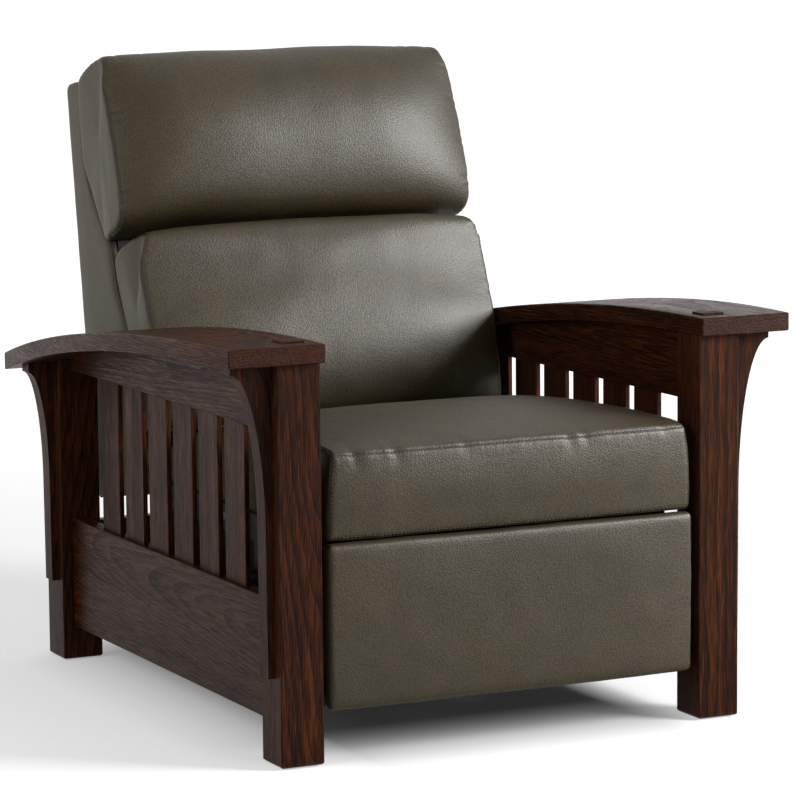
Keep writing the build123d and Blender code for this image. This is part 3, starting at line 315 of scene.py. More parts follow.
def leather(name, seed=3):
    """Olive brown leather: pebble grain, soft clouds of colour, painted shade in the pebbles' valleys and along
    the seams, and a satin face.
    """
    n = Nodes(name)
    rng = np.random.default_rng(seed)
    offset = tuple(rng.uniform(-2.0, 2.0, 3))
    here = n.mapped(n.source(), (1.0, 1.0, 1.0), offset)
    bent = n.bent(here, (300.0, 300.0, 300.0), offset, (0.0016, 0.0016, 0.0016))
    pebble = n.span(n.cells(bent, GRAIN_CELLS, "F1", 0.9), 0.68, 0.22)
    small = n.noise(here, 1500.0, 2.0, 0.6)
    clouds = n.noise(here, 5.0, 4.0, 0.55, 0.3)
    patches = n.noise(here, 24.0, 3.0, 0.5)
    base = n.ramp(
        n.math("ADD", n.math("MULTIPLY", clouds, 0.6), n.math("MULTIPLY", patches, 0.4)),
        [
            (0.34, (0.0330, 0.0234, 0.0070)),
            (0.52, (0.0440, 0.0316, 0.0098)),
            (0.68, (0.0560, 0.0404, 0.0130)),
        ],
    )
    # side faces of a cushion are stretched, so their grain is flatter
    face = n.add("ShaderNodeSeparateXYZ")
    n.link(n.add("ShaderNodeTexCoord").outputs["Normal"], face.inputs[0])
    side = n.math("POWER", n.math("ABSOLUTE", face.outputs["X"]), 6.0)
    depth = n.math("SUBTRACT", 1.0, n.math("MULTIPLY", side, 0.7))
    valley = n.math("MULTIPLY", n.math("SUBTRACT", 1.0, pebble), depth)
    # painted shade: the valleys between the pebbles are darkened in colour, less on the flatter side faces
    colour = n.mix(n.math("MULTIPLY", valley, 0.62), base, (0.0080, 0.0058, 0.0022))
    # painted shade: the leather is darkened along each seam's groove by the sewn_line mask
    seam = n.add("ShaderNodeAttribute", attribute_name="sewn_line", attribute_type="GEOMETRY")
    seam_shaded = n.mix(n.math("MULTIPLY", seam.outputs["Fac"], 0.92), colour, (0.0060, 0.0046, 0.0022))
    h = n.math("ADD", pebble, n.math("MULTIPLY", small, 0.30))
    h = n.math("MULTIPLY", h, depth)
    normal = n.bump(h, 0.42, GRAIN_DEPTH)
    soft = n.bump(patches, 0.20, 0.003, normal)
    rough = n.span(n.math("ADD", valley, n.math("MULTIPLY", patches, 0.6)), 0.2, 1.4, 0.44, 0.60)
    mat = n.shader(seam_shaded, rough, soft, Specular_IOR_Level=0.17, Coat_Weight=0.14, Coat_Roughness=0.42,
                   Coat_IOR=1.5)
    finish = n.bump(h, 0.30, GRAIN_DEPTH)
    shader = next(node for node in n.tree.nodes if node.type == "BSDF_PRINCIPLED")
    n.link(finish, shader.inputs["Coat Normal"])
    return mat


def steel(name, colour, rough=0.42):
    """Enamelled or plated steel with a faintly uneven finish."""
    n = Nodes(name)
    here = n.source()
    speck = n.noise(here, 900.0, 2.0, 0.6)
    cloud = n.noise(here, 30.0, 3.0, 0.55)
    tone = n.ramp(cloud, [(0.35, tuple(c * 0.8 for c in colour)), (0.65, tuple(c * 1.25 for c in colour))])
    shine = n.span(cloud, 0.3, 0.7, rough - 0.06, rough + 0.1)
    return n.shader(tone, shine, n.bump(speck, 0.12, 0.0002), Specular_IOR_Level=0.5)


def bare_wood(name, axis, light, seed):
    """Plain wood of the hidden frames, darkened as painted shade so that the gaps between the cushions read
    dark, with its grain along one axis.
    """
    n = Nodes(name)
    rng = np.random.default_rng(seed)
    offset = tuple(rng.uniform(-3.0, 3.0, 3))
    fine = n.noise(n.mapped(n.source(), along(axis, 260.0, 9.0), offset), 1.0, 4.0, 0.6)
    broad = n.noise(n.mapped(n.source(), along(axis, 16.0, 3.0), offset), 1.0, 3.0, 0.5)
    tone = n.ramp(
        n.math("ADD", n.math("MULTIPLY", fine, 0.5), n.math("MULTIPLY", broad, 0.5)),
        [(0.32, tuple(c * 0.62 for c in light)), (0.5, light), (0.7, tuple(min(1.0, c * 1.25) for c in light))],
    )
    return n.shader(tone, 0.72, n.bump(fine, 0.25, 0.0004), Specular_IOR_Level=0.3)


def webbing(name):
    """Woven straps under the cushions."""
    n = Nodes(name)
    here = n.source()
    weave = n.add("ShaderNodeTexWave", wave_type="BANDS", bands_direction="X")
    n.put(weave, "Vector", here)
    n.put(weave, "Scale", 320.0)
    across = n.add("ShaderNodeTexWave", wave_type="BANDS", bands_direction="Y")
    n.put(across, "Vector", here)
    n.put(across, "Scale", 200.0)
    h = n.math("MULTIPLY", weave.outputs["Fac"], across.outputs["Fac"])
    tone = n.ramp(h, [(0.0, (0.018, 0.017, 0.016)), (1.0, (0.075, 0.070, 0.064))])
    return n.shader(tone, 0.85, n.bump(h, 0.5, 0.0006), Specular_IOR_Level=0.2)


def nylon(name):
    n = Nodes(name)
    speck = n.noise(n.source(), 700.0, 3.0, 0.6)
    tone = n.ramp(speck, [(0.3, (0.055, 0.052, 0.048)), (0.7, (0.095, 0.090, 0.083))])
    return n.shader(tone, 0.55, n.bump(speck, 0.2, 0.0002))


def give(obj, mat):
    obj.data.materials.clear()
    obj.data.materials.append(mat)
    return obj


# Wood and metal: the CAD nodes with their own materials

def dress_wood():
    seed = 10
    for side, sign in SIDES:
        rows = [
            (f"front_post_{side}", "Z", (0.05 * sign, 0.62)),
            (f"rear_post_{side}", "Z", (0.06 * sign, -0.55)),
            (f"arm_{side}", "Y", (0.42 * sign, 0.22)),
            (f"upper_side_rail_{side}", "Y", (0.40 * sign, 0.56)),
            (f"lower_side_rail_{side}", "Y", (0.46 * sign, 0.20)),
            (f"front_corbel_{side}", "Z", (0.20 * sign, 0.54)),
            (f"rear_corbel_{side}", "Z", (0.22 * sign, -0.50)),
        ]
        rows += [(f"side_slat_{side}_{i}", "Z", (0.30 * sign, 0.42 - 0.13 * i)) for i in range(1, 7)]
        for name, axis, pith in rows:
            seed += 1
            rng = np.random.default_rng(seed)
            pith = (pith[0] + rng.uniform(-0.02, 0.02), pith[1] + rng.uniform(-0.02, 0.02))
            give(NODES[name], oak(f"oak_{name}", axis, seed, pith, rng.uniform(0.9, 1.1)))
    for name in ("front_stretcher", "rear_stretcher"):
        seed += 1
        give(NODES[name], oak(f"oak_{name}", "X", seed, (0.12, 0.3)))
    # painted shade: the hidden rails, uprights and footrest board get a near-black tone so that they read as
    # the dark gaps between the cushions
    hard = bare_wood("painted_shade_rail_x", "X", (0.016, 0.010, 0.007), 5)
    hard_y = bare_wood("painted_shade_rail_y", "Y", (0.016, 0.010, 0.007), 6)
    ply = bare_wood("painted_shade_plywood_z", "Z", (0.018, 0.012, 0.008), 7)
    ply_x = bare_wood("painted_shade_plywood_x", "X", (0.018, 0.012, 0.008), 8)
    for name in ("seat_front_rail", "seat_rear_rail", "back_top_rail", "back_bottom_rail"):
        give(NODES[name], hard)
    for name in ("seat_side_rail_left", "seat_side_rail_right"):
        give(NODES[name], hard_y)
    for name in ("back_upright_left", "back_upright_right"):
        give(NODES[name], ply)
    give(NODES["footrest_board"], ply_x)


def dress_metal():
    enamel = steel("black_enamel", (0.018, 0.018, 0.020), 0.38)
    zinc = steel("dark_zinc", (0.14, 0.14, 0.15), 0.34)
    for name in ("base_rails", "side_plates", "front_swing_links", "rear_swing_links", "footrest_brackets",
                 "drive_links", "cross_links", "lift_links"):
        give(NODES[name], enamel)
    for name in ("cross_tube", "torque_tube", "back_hinge_plates"):
        give(NODES[name], zinc)
    straps = webbing("woven_straps")
    for name in ("seat_webbing", "back_webbing"):
        give(NODES[name], straps)
    give(NODES["floor_glides"], nylon("nylon_glide"))


# Cushions

def rounded(points, times=3):
    """Closed smooth outline inside a polygon, by cutting its corners."""
    p = np.array(points, float)
    for _ in range(times):
        q = np.roll(p, -1, axis=0)
        out = np.empty((2 * len(p), p.shape[1]))
        out[0::2] = 0.75 * p + 0.25 * q
        out[1::2] = 0.25 * p + 0.75 * q
        p = out
    return p


def in_chair(x, a, b):
    """Chair place from X and (Y, Z) measured from the front posts, all in mm."""
    return np.stack([x / 1000, a / 1000 + SHIFT_Y, b / 1000], axis=-1)


LEAN = math.radians(9.0)


def in_back(x, u, w):
    """Chair place from X, depth u and height w in the leaning back, all in mm."""
    y = 944.5 - u * math.cos(LEAN) + w * math.sin(LEAN)
    z = 262.0 + u * math.sin(LEAN) + w * math.cos(LEAN)
    return in_chair(x, y, z)


def cushion_shell(name, side, middle, half, place, crown=3.0, inset=None, bulge=3.0, columns=60):
    """Closed cushion from an outline at its side seams and one in the middle of its crown.

    inset says how far each outline point lies inside half at the ends.
    """
    lows = rounded([(*p, q) for p, q in zip(side, inset or [0.0] * len(side))])
    highs = rounded(middle)
    count = len(lows)
    stations = np.sin(np.linspace(-math.pi / 2, math.pi / 2, columns + 1))
    verts = []
    for s in stations:
        k = 1.0 - abs(s) ** crown
        ab = lows[:, :2] * (1 - k) + highs * k
        x = s * (half - lows[:, 2])
        verts.append(place(x, ab[:, 0], ab[:, 1]))
    verts = list(np.concatenate(verts))
    faces = []
    for c in range(columns):
        for i in range(count):
            j = (i + 1) % count
            faces.append((c * count + i, c * count + j, (c + 1) * count + j, (c + 1) * count + i))
    centre = lows.mean(axis=0)
    rings = 8
    for sign, base in ((-1.0, 0), (1.0, columns * count)):
        last = list(range(base, base + count))
        for r in range(1, rings):
            t = r / rings
            ring = lows * (1 - t) + centre * t
            x = sign * (half - ring[:, 2] + bulge * math.sin(math.pi / 2 * t))
            start = len(verts)
            verts.extend(place(x, ring[:, 0], ring[:, 1]))
            now = list(range(start, start + count))
            for i in range(count):
                j = (i + 1) % count
                face = (last[i], now[i], now[j], last[j])
                faces.append(face if sign > 0 else face[::-1])
            last = now
        tip = len(verts)
        verts.append(place(np.array([sign * (half - centre[2] + bulge)]), centre[0:1], centre[1:2])[0])
        for i in range(count):
            j = (i + 1) % count
            face = (last[i], tip, last[j])
            faces.append(face if sign > 0 else face[::-1])
    obj = mesh_object(name, verts, faces)
    bm = bmesh.new()
    bm.from_mesh(obj.data)
    bmesh.ops.recalc_face_normals(bm, faces=bm.faces)
    bm.to_mesh(obj.data)
    bm.free()
    return obj


def seam_distance(co, paths):
    """Distance of each point from the nearest seam, and how far along it."""
    samples, along = [], []
    for path in paths:
        p = np.array(path, float)
        step = np.linalg.norm(np.diff(p, axis=0), axis=1)
        total = np.concatenate([[0.0], np.cumsum(step)])
        t = np.arange(0.0, total[-1], 0.001)
        q = np.stack([np.interp(t, total, p[:, k]) for k in range(3)], axis=-1)
        samples.append(q)
        along.append(t + 10.0 * len(along))
    q = np.concatenate(samples)
    t = np.concatenate(along)
    tree = KDTree(len(q))
    for i, point in enumerate(q):
        tree.insert(point, i)
    tree.balance()
    found = [tree.find(point) for point in co]
    dist = np.array([f[2] for f in found])
    where = t[[f[1] for f in found]]
    return dist, where


def puff(obj, seams, cap, pressure, free, frames=14):
    """Swells a cushion as cloth with its seams held, and caps how far each point moves.

    free says how far a place may move, as a share of the cap.
    """
    start = coords(obj)
    dist, _ = seam_distance(start, seams)
    hold = np.clip(1.0 - (dist - 0.004) / 0.008, 0.0, 1.0)
    allowed = np.array([free(p) for p in start])
    hold = np.maximum(hold, 1.0 - np.clip(allowed, 0.0, 1.0))
    group = obj.vertex_groups.new(name="held")
    for i in np.nonzero(hold > 0.01)[0]:
        group.add([int(i)], float(hold[i]), "REPLACE")
    mod = obj.modifiers.new("Cloth", "CLOTH")
    s = mod.settings
    s.quality = 3
    s.mass = 0.3
    s.tension_stiffness = 25.0
    s.compression_stiffness = 15.0
    s.shear_stiffness = 8.0
    s.bending_stiffness = 1.2
    s.use_pressure = True
    s.uniform_pressure_force = pressure
    s.vertex_group_mass = "held"
    s.pin_stiffness = 5.0
    s.effector_weights.gravity = 0.0
    mod.collision_settings.use_collision = False
    mod.point_cache.frame_start = 1
    mod.point_cache.frame_end = frames
    scene = bpy.context.scene
    scene.frame_start, scene.frame_end = 1, frames
    for f in range(1, frames + 1):
        scene.frame_set(f)
    deps = bpy.context.evaluated_depsgraph_get()
    swollen = obj.evaluated_get(deps).to_mesh()
    co = np.zeros(len(swollen.vertices) * 3)
    swollen.vertices.foreach_get("co", co)
    co = co.reshape(-1, 3)
    obj.evaluated_get(deps).to_mesh_clear()
    obj.modifiers.clear()
    obj.vertex_groups.clear()
    move = co - start
    size = np.linalg.norm(move, axis=1)
    limit = np.maximum(cap * np.clip(allowed, 0.0, 1.0), 1e-6)
    # soft limit, so that no plateau shows
    scale = np.where(size > 1e-9, limit * np.tanh(size / limit) / np.maximum(size, 1e-9), 0.0)
    set_coords(obj, start + move * scale[:, None])
    scene.frame_set(1)


def surface(obj):
    """Search tree of a mesh's faces."""
    mesh = obj.data
    return BVHTree.FromPolygons([v.co for v in mesh.vertices], [tuple(f.vertices) for f in mesh.polygons])


def sew(obj, paths, depth=0.0018, width=0.0026, pucker=0.0009, seed=1):
    """Presses seams into a cushion, with small puckers along them."""
    tree = surface(obj)
    paths = [[tuple(tree.find_nearest(Vector(q))[0]) for q in path] for path in paths]
    co = coords(obj)
    n = vertex_normals(obj)
    dist, where = seam_distance(co, paths)
    groove = np.exp(-((dist / width) ** 2))
    wave = np.array([
        noise.noise(Vector((t * 42.0, seed * 3.1, 0.0)))
        + 0.6 * noise.noise(Vector((t * 110.0, seed * 7.7, 4.0)))
        for t in where
    ])
    near = np.exp(-dist / 0.012) * (1.0 - 0.6 * groove)
    push = depth * groove - pucker * wave * near
    set_coords(obj, co - n * push[:, None])
    # mask along each seam, which the leather uses for painted shade in the seam's groove
    layer = obj.data.attributes.new("sewn_line", "FLOAT", "POINT")
    layer.data.foreach_set("value", np.exp(-((dist / 0.0022) ** 2)).astype(np.float32))


def crease(obj, start, end, plane, facing, depth, width=0.0040):
    """Presses one short fold that starts at a seam, seen along the facing direction.

    plane turns a place into the two measures, in metres, that start and end are given in.
    """
    co = coords(obj)
    n = vertex_normals(obj)
    flat = np.array([plane(p) for p in co])
    a, b = np.array(start), np.array(end)
    way = b - a
    t = np.clip(((flat - a) @ way) / (way @ way), 0.0, 1.0)
    gap = np.linalg.norm(flat - (a + t[:, None] * way), axis=1)
    face = np.array(facing, float)
    seen = np.clip(n @ (face / np.linalg.norm(face)) * 2.0, 0.0, 1.0)
    push = 0.6 * depth * np.exp(-((gap / width) ** 2)) * (1.0 - t) ** 0.7 * seen
    set_coords(obj, co - n * push[:, None])


def stitches(obj, name, rows, body, pitch=0.0062, length=0.0040, girth=0.00042):
    """Rows of thread lying on a cushion beside its seams."""
    tree = surface(obj)
    verts, faces = [], []
    for path, beside in rows:
        p = np.array(path, float) + np.array(beside)
        step = np.linalg.norm(np.diff(p, axis=0), axis=1)
        total = np.concatenate([[0.0], np.cumsum(step)])
        for t in np.arange(pitch, total[-1] - pitch, pitch):
            ends = []
            for d in (-length / 2, length / 2):
                q = Vector([float(np.interp(t + d, total, p[:, k])) for k in range(3)])
                hit, normal, _, _ = tree.find_nearest(q)
                ends.append(hit + normal * girth * 0.5)
            way = ends[1] - ends[0]
            if way.length < length * 0.4:
                continue
            side = way.cross(normal).normalized() * girth
            lift = normal * girth
            base = len(verts)
            for share, grow in ((0.0, 0.35), (0.22, 1.0), (0.78, 1.0), (1.0, 0.35)):
                mid = ends[0] + way * share
                for k in range(6):
                    angle = math.pi / 3 * k
                    verts.append(mid + (side * math.cos(angle) + lift * math.sin(angle)) * grow)
            for ring in range(3):
                for k in range(6):
                    j = (k + 1) % 6
                    low, high = base + ring * 6, base + ring * 6 + 6
                    faces.append((low + k, low + j, high + j, high + k))
            faces.append(tuple(base + k for k in range(5, -1, -1)))
            faces.append(tuple(base + 18 + k for k in range(6)))
    threads = mesh_object(name, verts, faces)
    give(threads, thread_material())
    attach(threads, body)


def thread_material():
    known = bpy.data.materials.get("waxed_thread")
    if known:
        return known
    n = Nodes("waxed_thread")
    twist = n.add("ShaderNodeTexWave", wave_type="BANDS", bands_direction="DIAGONAL")
    n.put(twist, "Vector", n.source())
    n.put(twist, "Scale", 900.0)
    tone = n.ramp(twist.outputs["Fac"], [(0.0, (0.020, 0.016, 0.008)), (1.0, (0.075, 0.062, 0.038))])
    return n.shader(tone, 0.55, n.bump(twist.outputs["Fac"], 0.4, 0.0002), Specular_IOR_Level=0.4)


def crumple(obj, amount, scale, seed):
    """Very shallow unevenness of the stuffing."""
    co = coords(obj)
    n = vertex_normals(obj)
    lump = np.array([
        noise.noise(Vector(p) * scale + Vector((seed, 0, 0)))
        + 0.5 * noise.noise(Vector(p) * scale * 2.3 + Vector((0, seed, 0)))
        for p in co
    ])
    set_coords(obj, co + n * (amount * lump)[:, None])


def ease(value, low, high):
    """Share of the way from low to high, between 0 and 1."""
    return min(1.0, max(0.0, (value - low) / (high - low)))


def to_back(p):
    """Depth and height in the leaning back, in mm, of a chair place."""
    y = (p[1] - SHIFT_Y) * 1000 - 944.5
    z = p[2] * 1000 - 262.0
    u = -y * math.cos(LEAN) + z * math.sin(LEAN)
    w = y * math.sin(LEAN) + z * math.cos(LEAN)
    return u, w


def front_plane(p):
    return p[0], p[2]


def top_plane(p):
    return p[0], p[1]


def back_plane(p):
    return p[0], to_back(p)[1] / 1000


def back_top_plane(p):
    return p[0], to_back(p)[0] / 1000


def seat_cushion():
    side = [
        (676, 337), (400, 337), (120, 337), (44, 335), (24, 332), (9, 332), (6, 336), (6, 350), (4, 390),
        (4, 425), (6, 452), (7, 460), (10, 464), (18, 467), (60, 470), (228, 467), (380, 456),
        (494, 438), (600, 402), (640, 385), (668, 369), (677, 358),
    ]
    middle = [
        (676, 337), (400, 337), (120, 337), (44, 335), (22, 332), (6, 332), (1, 337), (-1, 350),
        (-4, 390), (-4, 425), (0, 452), (3, 461), (8, 466), (18, 470), (60, 479), (232, 487), (385, 477),
        (500, 450), (600, 407), (642, 388), (670, 371), (677, 358),
    ]
    inset = [2 + 8 * ease(z, 400, 466) if y < 620 else 4 for y, z in side]
    shell = cushion_shell("seat_cushion_leather", side, middle, 309.0, in_chair, crown=4.0, inset=inset,
                          bulge=1.0)
    remesh(shell, 0.0055)
    smoothed(shell, 0.5, 1)
    line = rounded([(*p, q) for p, q in zip(side, inset)])
    spread = np.linspace(-1.0, 1.0, 80)
    bowed = 7.5 - 4.0 * (1 - spread**4)
    seams = [in_chair(spread * half, bowed, np.full(80, z)) for half, z in ((299.5, 463.0), (306.0, 335.5))]
    top = line[(line[:, 1] > 462) | ((line[:, 0] > 400) & (line[:, 1] > 380))]
    top = top[np.argsort(top[:, 0])]
    rise = line[(line[:, 0] < 12) & (line[:, 1] > 335) & (line[:, 1] < 464)]
    rise = rise[np.argsort(rise[:, 1])]
    for sign in (-1, 1):
        seams.append(in_chair(sign * (308.5 - top[:, 2]), top[:, 0], top[:, 1]))
        seams.append(in_chair(sign * (308.5 - rise[:, 2]), rise[:, 0], rise[:, 1]))

    def free(p):
        y, z = (p[1] - SHIFT_Y) * 1000, p[2] * 1000
        top_free = ease(z, 345, 380) * (1.0 - ease(y, 560, 640))
        sides = 1.0 - 0.9 * ease(abs(p[0]) * 1000, 296, 306)
        return top_free * max(sides, 0.1)

    puff(shell, seams, 0.010, 3.2, free)
    subdivided(shell)
    sew(shell, seams, seed=2)
    folds = [(-0.262, 0.026, 0.0022), (-0.197, 0.022, 0.0016), (-0.080, 0.020, 0.0011), (0.095, 0.024, 0.0018),
             (0.124, 0.020, 0.0015), (0.262, 0.016, 0.0012)]
    for x, reach, deep in folds:
        crease(shell, (x, 0.462), (x + 0.004, 0.462 - reach), front_plane, (0, -1, 0), deep, 0.009)
        y = SHIFT_Y + 0.006
        crease(shell, (x, y), (x - 0.004, y + reach * 1.8), top_plane, (0, 0, 1), deep, 0.009)
    crumple(shell, 0.0012, 9.0, 3.0)
    rows = [(seams[0], (0, 0, -0.0035)), (seams[0], (0, 0.0035, 0.001)), (seams[1], (0, 0, 0.0035))]
    rows += [(seam, (0, 0, 0)) for seam in seams[2::2]]
    rows += [(seams[3], (0.0035, 0, 0)), (seams[5], (-0.0035, 0, 0))]
    stitches(shell, "seat_stitching", rows, "seat")
    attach(shell, "seat")
    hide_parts("seat_cushion")
    return shell


def lumbar_cushion():
    side = [
        (237, 105), (290, 103), (312, 107), (323, 116), (327, 135), (331, 170), (329, 225), (325, 270),
        (313, 310), (303, 345), (297, 375), (297, 400), (296, 418), (289, 428), (272, 431), (225, 422),
        (190, 411), (170, 403), (159, 396), (159, 388), (165, 348), (184, 300), (200, 270), (224, 160),
    ]
    middle = [
        (237, 105), (296, 103), (322, 107), (338, 118), (348, 138), (357, 175), (358, 225), (352, 272),
        (338, 315), (324, 350), (317, 380), (314, 404), (309, 424), (299, 436), (280, 441), (225, 430),
        (190, 418), (170, 410), (158, 402), (158, 394), (165, 348), (184, 300), (200, 270), (224, 160),
    ]
    inset = []
    for u, w in side:
        depth = 9 if u < 230 else (5 if u < 262 else 1)
        inset.append(max(depth, 24 * ease(w, 392, 432) ** 2))
    shell = cushion_shell("lumbar_cushion_leather", side, middle, 313.5, in_back, crown=3.2, inset=inset,
                          bulge=1.0)
    remesh(shell, 0.0055)
    smoothed(shell, 0.5, 2)
    line = rounded(side)
    front = line[(line[:, 0] > 262)]
    front = front[np.argsort(front[:, 1])]
    seams = []
    for sign in (-1, 1):
        drawn = np.array([24 * ease(w, 392, 432) ** 2 for w in front[:, 1]])
        seams.append(in_back(sign * (311.5 - drawn), front[:, 0] - 1.0, front[:, 1]))

    def free(p):
        u, w = to_back(p)
        return ease(u, 235, 285) * ease(w, 104, 135) * (1.0 - 0.75 * ease(w, 415, 440))

    puff(shell, seams, 0.011, 3.2, free)
    subdivided(shell)
    sew(shell, seams, seed=5, pucker=0.0010)
    for sign in (-1, 1):
        for w, reach, deep in ((408, 30, 0.0030), (392, 18, 0.0020), (300, 16, 0.0016), (205, 20, 0.0018)):
            x = sign * 0.311
            end = (x - sign * reach / 1000, (w + 3) / 1000)
            crease(shell, (x, w / 1000), end, back_plane, (0, -1, 0.1), deep)
    crumple(shell, 0.0015, 8.0, 9.0)
    stitches(shell, "lumbar_stitching", [(seams[0], (0.0035, 0, 0)), (seams[1], (-0.0035, 0, 0))], "back")
    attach(shell, "back")
    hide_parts("lumbar_cushion")
    return shell


def head_cushion():
    side = [
        (153, 425), (172, 429), (205, 434), (229, 441), (245, 454), (251, 482), (248, 520), (240, 560),
        (231, 600), (222, 640), (211, 672), (204, 696), (199, 714), (190, 726), (170, 728), (140, 724),
        (105, 716), (78, 705), (67, 694), (66, 660), (66, 600), (66, 566), (90, 524), (118, 479),
        (140, 440), (146, 428),
    ]
    middle = [
        (153, 426), (178, 432), (220, 443), (252, 451), (274, 467), (287, 495), (292, 530), (292, 575),
        (287, 615), (274, 652), (254, 686), (236, 706), (217, 722), (192, 733), (150, 735), (105, 724),
        (78, 708), (68, 696), (66, 660), (66, 600), (66, 566), (90, 524), (118, 479), (140, 440),
        (146, 428), (149, 426),
    ]
    inset = []
    for u, w in side:
        depth = 9 if u < 110 else (7 if u < 165 else (3 if u < 200 else 0))
        inset.append(max(depth, 12 * ease(w, 690, 728)))
    shell = cushion_shell("head_cushion_leather", side, middle, 319.0, in_back, crown=4.5, inset=inset,
                          bulge=1.5)
    remesh(shell, 0.0055)
    smoothed(shell, 0.5, 2)
    line = rounded(side)
    front = line[(line[:, 0] > 150) & (line[:, 1] > 430)]
    order = np.argsort(np.arctan2(front[:, 1] - 580.0, front[:, 0] - 150.0))
    front = front[order]
    seams = []
    for sign in (-1, 1):
        drawn = np.array([12 * ease(w, 690, 728) for w in front[:, 1]])
        seams.append(in_back(sign * (317.5 - drawn), front[:, 0] - 1.0, front[:, 1]))

    def free(p):
        u, w = to_back(p)
        top = ease(w, 690, 712)
        return max(ease(u, 150, 210), top * ease(u, 66, 110)) * (0.3 + 0.7 * ease(w, 452, 490))

    puff(shell, seams, 0.012, 3.4, free)
    subdivided(shell)
    sew(shell, seams, seed=8, pucker=0.0012)
    folds = (
        (688, 26, 0.0028), (632, 30, 0.0034), (618, 20, 0.0024), (556, 22, 0.0024), (494, 22, 0.0026),
        (478, 16, 0.002),
    )
    for sign in (-1, 1):
        for w, reach, deep in folds:
            x = sign * 0.317
            end = (x - sign * reach / 1000, (w + 4) / 1000)
            crease(shell, (x, w / 1000), end, back_plane, (0, -1, 0.1), deep)
    for x, deep in ((-0.285, 0.0030), (-0.235, 0.0018), (0.230, 0.0026), (0.252, 0.0032), (0.286, 0.0024)):
        crease(shell, (x, 0.165), (x + 0.004, 0.205), back_top_plane, (0, -0.3, 1), deep)
    crumple(shell, 0.0018, 7.0, 5.0)
    stitches(shell, "head_stitching", [(seams[0], (0.0035, 0, 0)), (seams[1], (-0.0035, 0, 0))], "back")
    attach(shell, "back")
    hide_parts("head_cushion")
    return shell


def footrest_pad():
    side = [
        (29, 81), (18, 80), (8, 80), (3, 83), (1, 92), (0, 140), (0, 205), (0, 270), (1, 313),
        (2, 325), (7, 329), (18, 329), (29, 327), (29, 205),
    ]
    middle = [
        (29, 81), (16, 79), (6, 79), (-1, 83), (-4, 92), (-6, 140), (-6, 205), (-6, 270), (-4, 313),
        (-2, 326), (5, 330), (16, 330), (29, 327), (29, 205),
    ]
    shell = cushion_shell("footrest_pad_leather", side, middle, 307.5, in_chair, crown=5.0, bulge=1.0)
    remesh(shell, 0.005)
    smoothed(shell, 0.5, 1)
    lines = rounded(side)
    edge = lines[lines[:, 0] < 12]
    edge = edge[np.argsort(edge[:, 1])]
    seams = [in_chair(np.full(len(edge), sign * 307.0), edge[:, 0], edge[:, 1]) for sign in (-1, 1)]
    subdivided(shell)
    sew(shell, seams, depth=0.0006, pucker=0.0006, seed=11)
    crumple(shell, 0.0012, 8.0, 21.0)
    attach(shell, "ottoman")
    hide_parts("footrest_pad")
    return shell


def cover_form(name, verts, faces):
    """Closed form with its large end faces cut into triangles."""
    obj = mesh_object(name, verts, faces)
    bm = bmesh.new()
    bm.from_mesh(obj.data)
    bmesh.ops.triangulate(bm, faces=[f for f in bm.faces if len(f.verts) > 4])
    bmesh.ops.recalc_face_normals(bm, faces=bm.faces)
    bm.to_mesh(obj.data)
    bm.free()
    return obj


def back_side(side, sign):
    """Leather over the side of the back's frame, lightly padded."""
    edge = [
        (13, 2), (120, 2), (222, 2), (236, 10), (236, 58), (222, 115), (205, 200), (194, 278),
        (176, 318), (163, 345), (156, 385), (148, 425), (112, 468), (84, 520), (64, 566), (64, 640),
        (64, 694), (60, 701), (36, 702), (6, 702), (2, 698), (1.5, 500), (1.5, 200), (2, 4),
    ]
    line = rounded(edge, 2)
    inner, outer = 289.0, 305.0
    count = len(line)
    rings = [
        (0.0, inner), (0.0, outer - 5.0), (0.012, outer - 1.5), (0.035, outer), (0.12, outer + 1.2),
        (0.4, outer + 2.2),
    ]
    centre = line.mean(axis=0)
    verts, faces = [], []
    for t, x in rings:
        ring = line + (centre - line) * t
        verts.extend(in_back(np.full(count, sign * x), ring[:, 0], ring[:, 1]))
    for r in range(len(rings) - 1):
        for i in range(count):
            j = (i + 1) % count
            faces.append((r * count + i, r * count + j, (r + 1) * count + j, (r + 1) * count + i))
    faces.append(tuple(range((len(rings) - 1) * count, len(rings) * count)))
    faces.append(tuple(range(count))[::-1])
    obj = cover_form(f"back_side_leather_{side}", verts, faces)
    remesh(obj, 0.004)
    smoothed(obj, 0.5, 3)
    crumple(obj, 0.0008, 8.0, 31.0)
    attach(obj, "back")
    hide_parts(f"back_side_cover_{side}")
    return obj


def outside_back():
    """Leather over the rear of the back, turned forward over its top."""
    outline = [
        (0.5, 1), (0.0, 60), (-0.5, 350), (0.0, 640), (0.5, 692), (2.5, 699), (9, 701.5), (62, 701.5),
        (64, 698), (63, 691), (30, 690), (13, 690), (12, 680), (12, 350), (12, 20), (11, 1),
    ]
    line = rounded(outline, 2)
    count = len(line)
    stations = [-303, -302.2, -299, -292, -240, -120, 0, 120, 240, 292, 299, 302.2, 303]
    verts, faces = [], []
    for x in stations:
        k = 1.0 - abs(x / 305.0) ** 6
        ring = line.copy()
        if abs(x) > 300:
            ring = np.where(ring[:, :1] < 12, ring + np.array([2.0, 0.0]) * (abs(x) - 300) / 5.0, ring)
        ring[:, 0] -= np.where(ring[:, 0] < 2, 1.6 * k, 0.0)
        verts.extend(in_back(np.full(count, float(x)), ring[:, 0], ring[:, 1]))
    for c in range(len(stations) - 1):
        for i in range(count):
            j = (i + 1) % count
            faces.append((c * count + i, c * count + j, (c + 1) * count + j, (c + 1) * count + i))
    faces.append(tuple(range(count)))
    faces.append(tuple(range((len(stations) - 1) * count, len(stations) * count))[::-1])
    obj = cover_form("outside_back_leather", verts, faces)
    remesh(obj, 0.004)
    smoothed(obj, 0.5, 2)
    crumple(obj, 0.0006, 7.0, 41.0)
    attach(obj, "back")
    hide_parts("outside_back")
    return obj


# Small fasteners

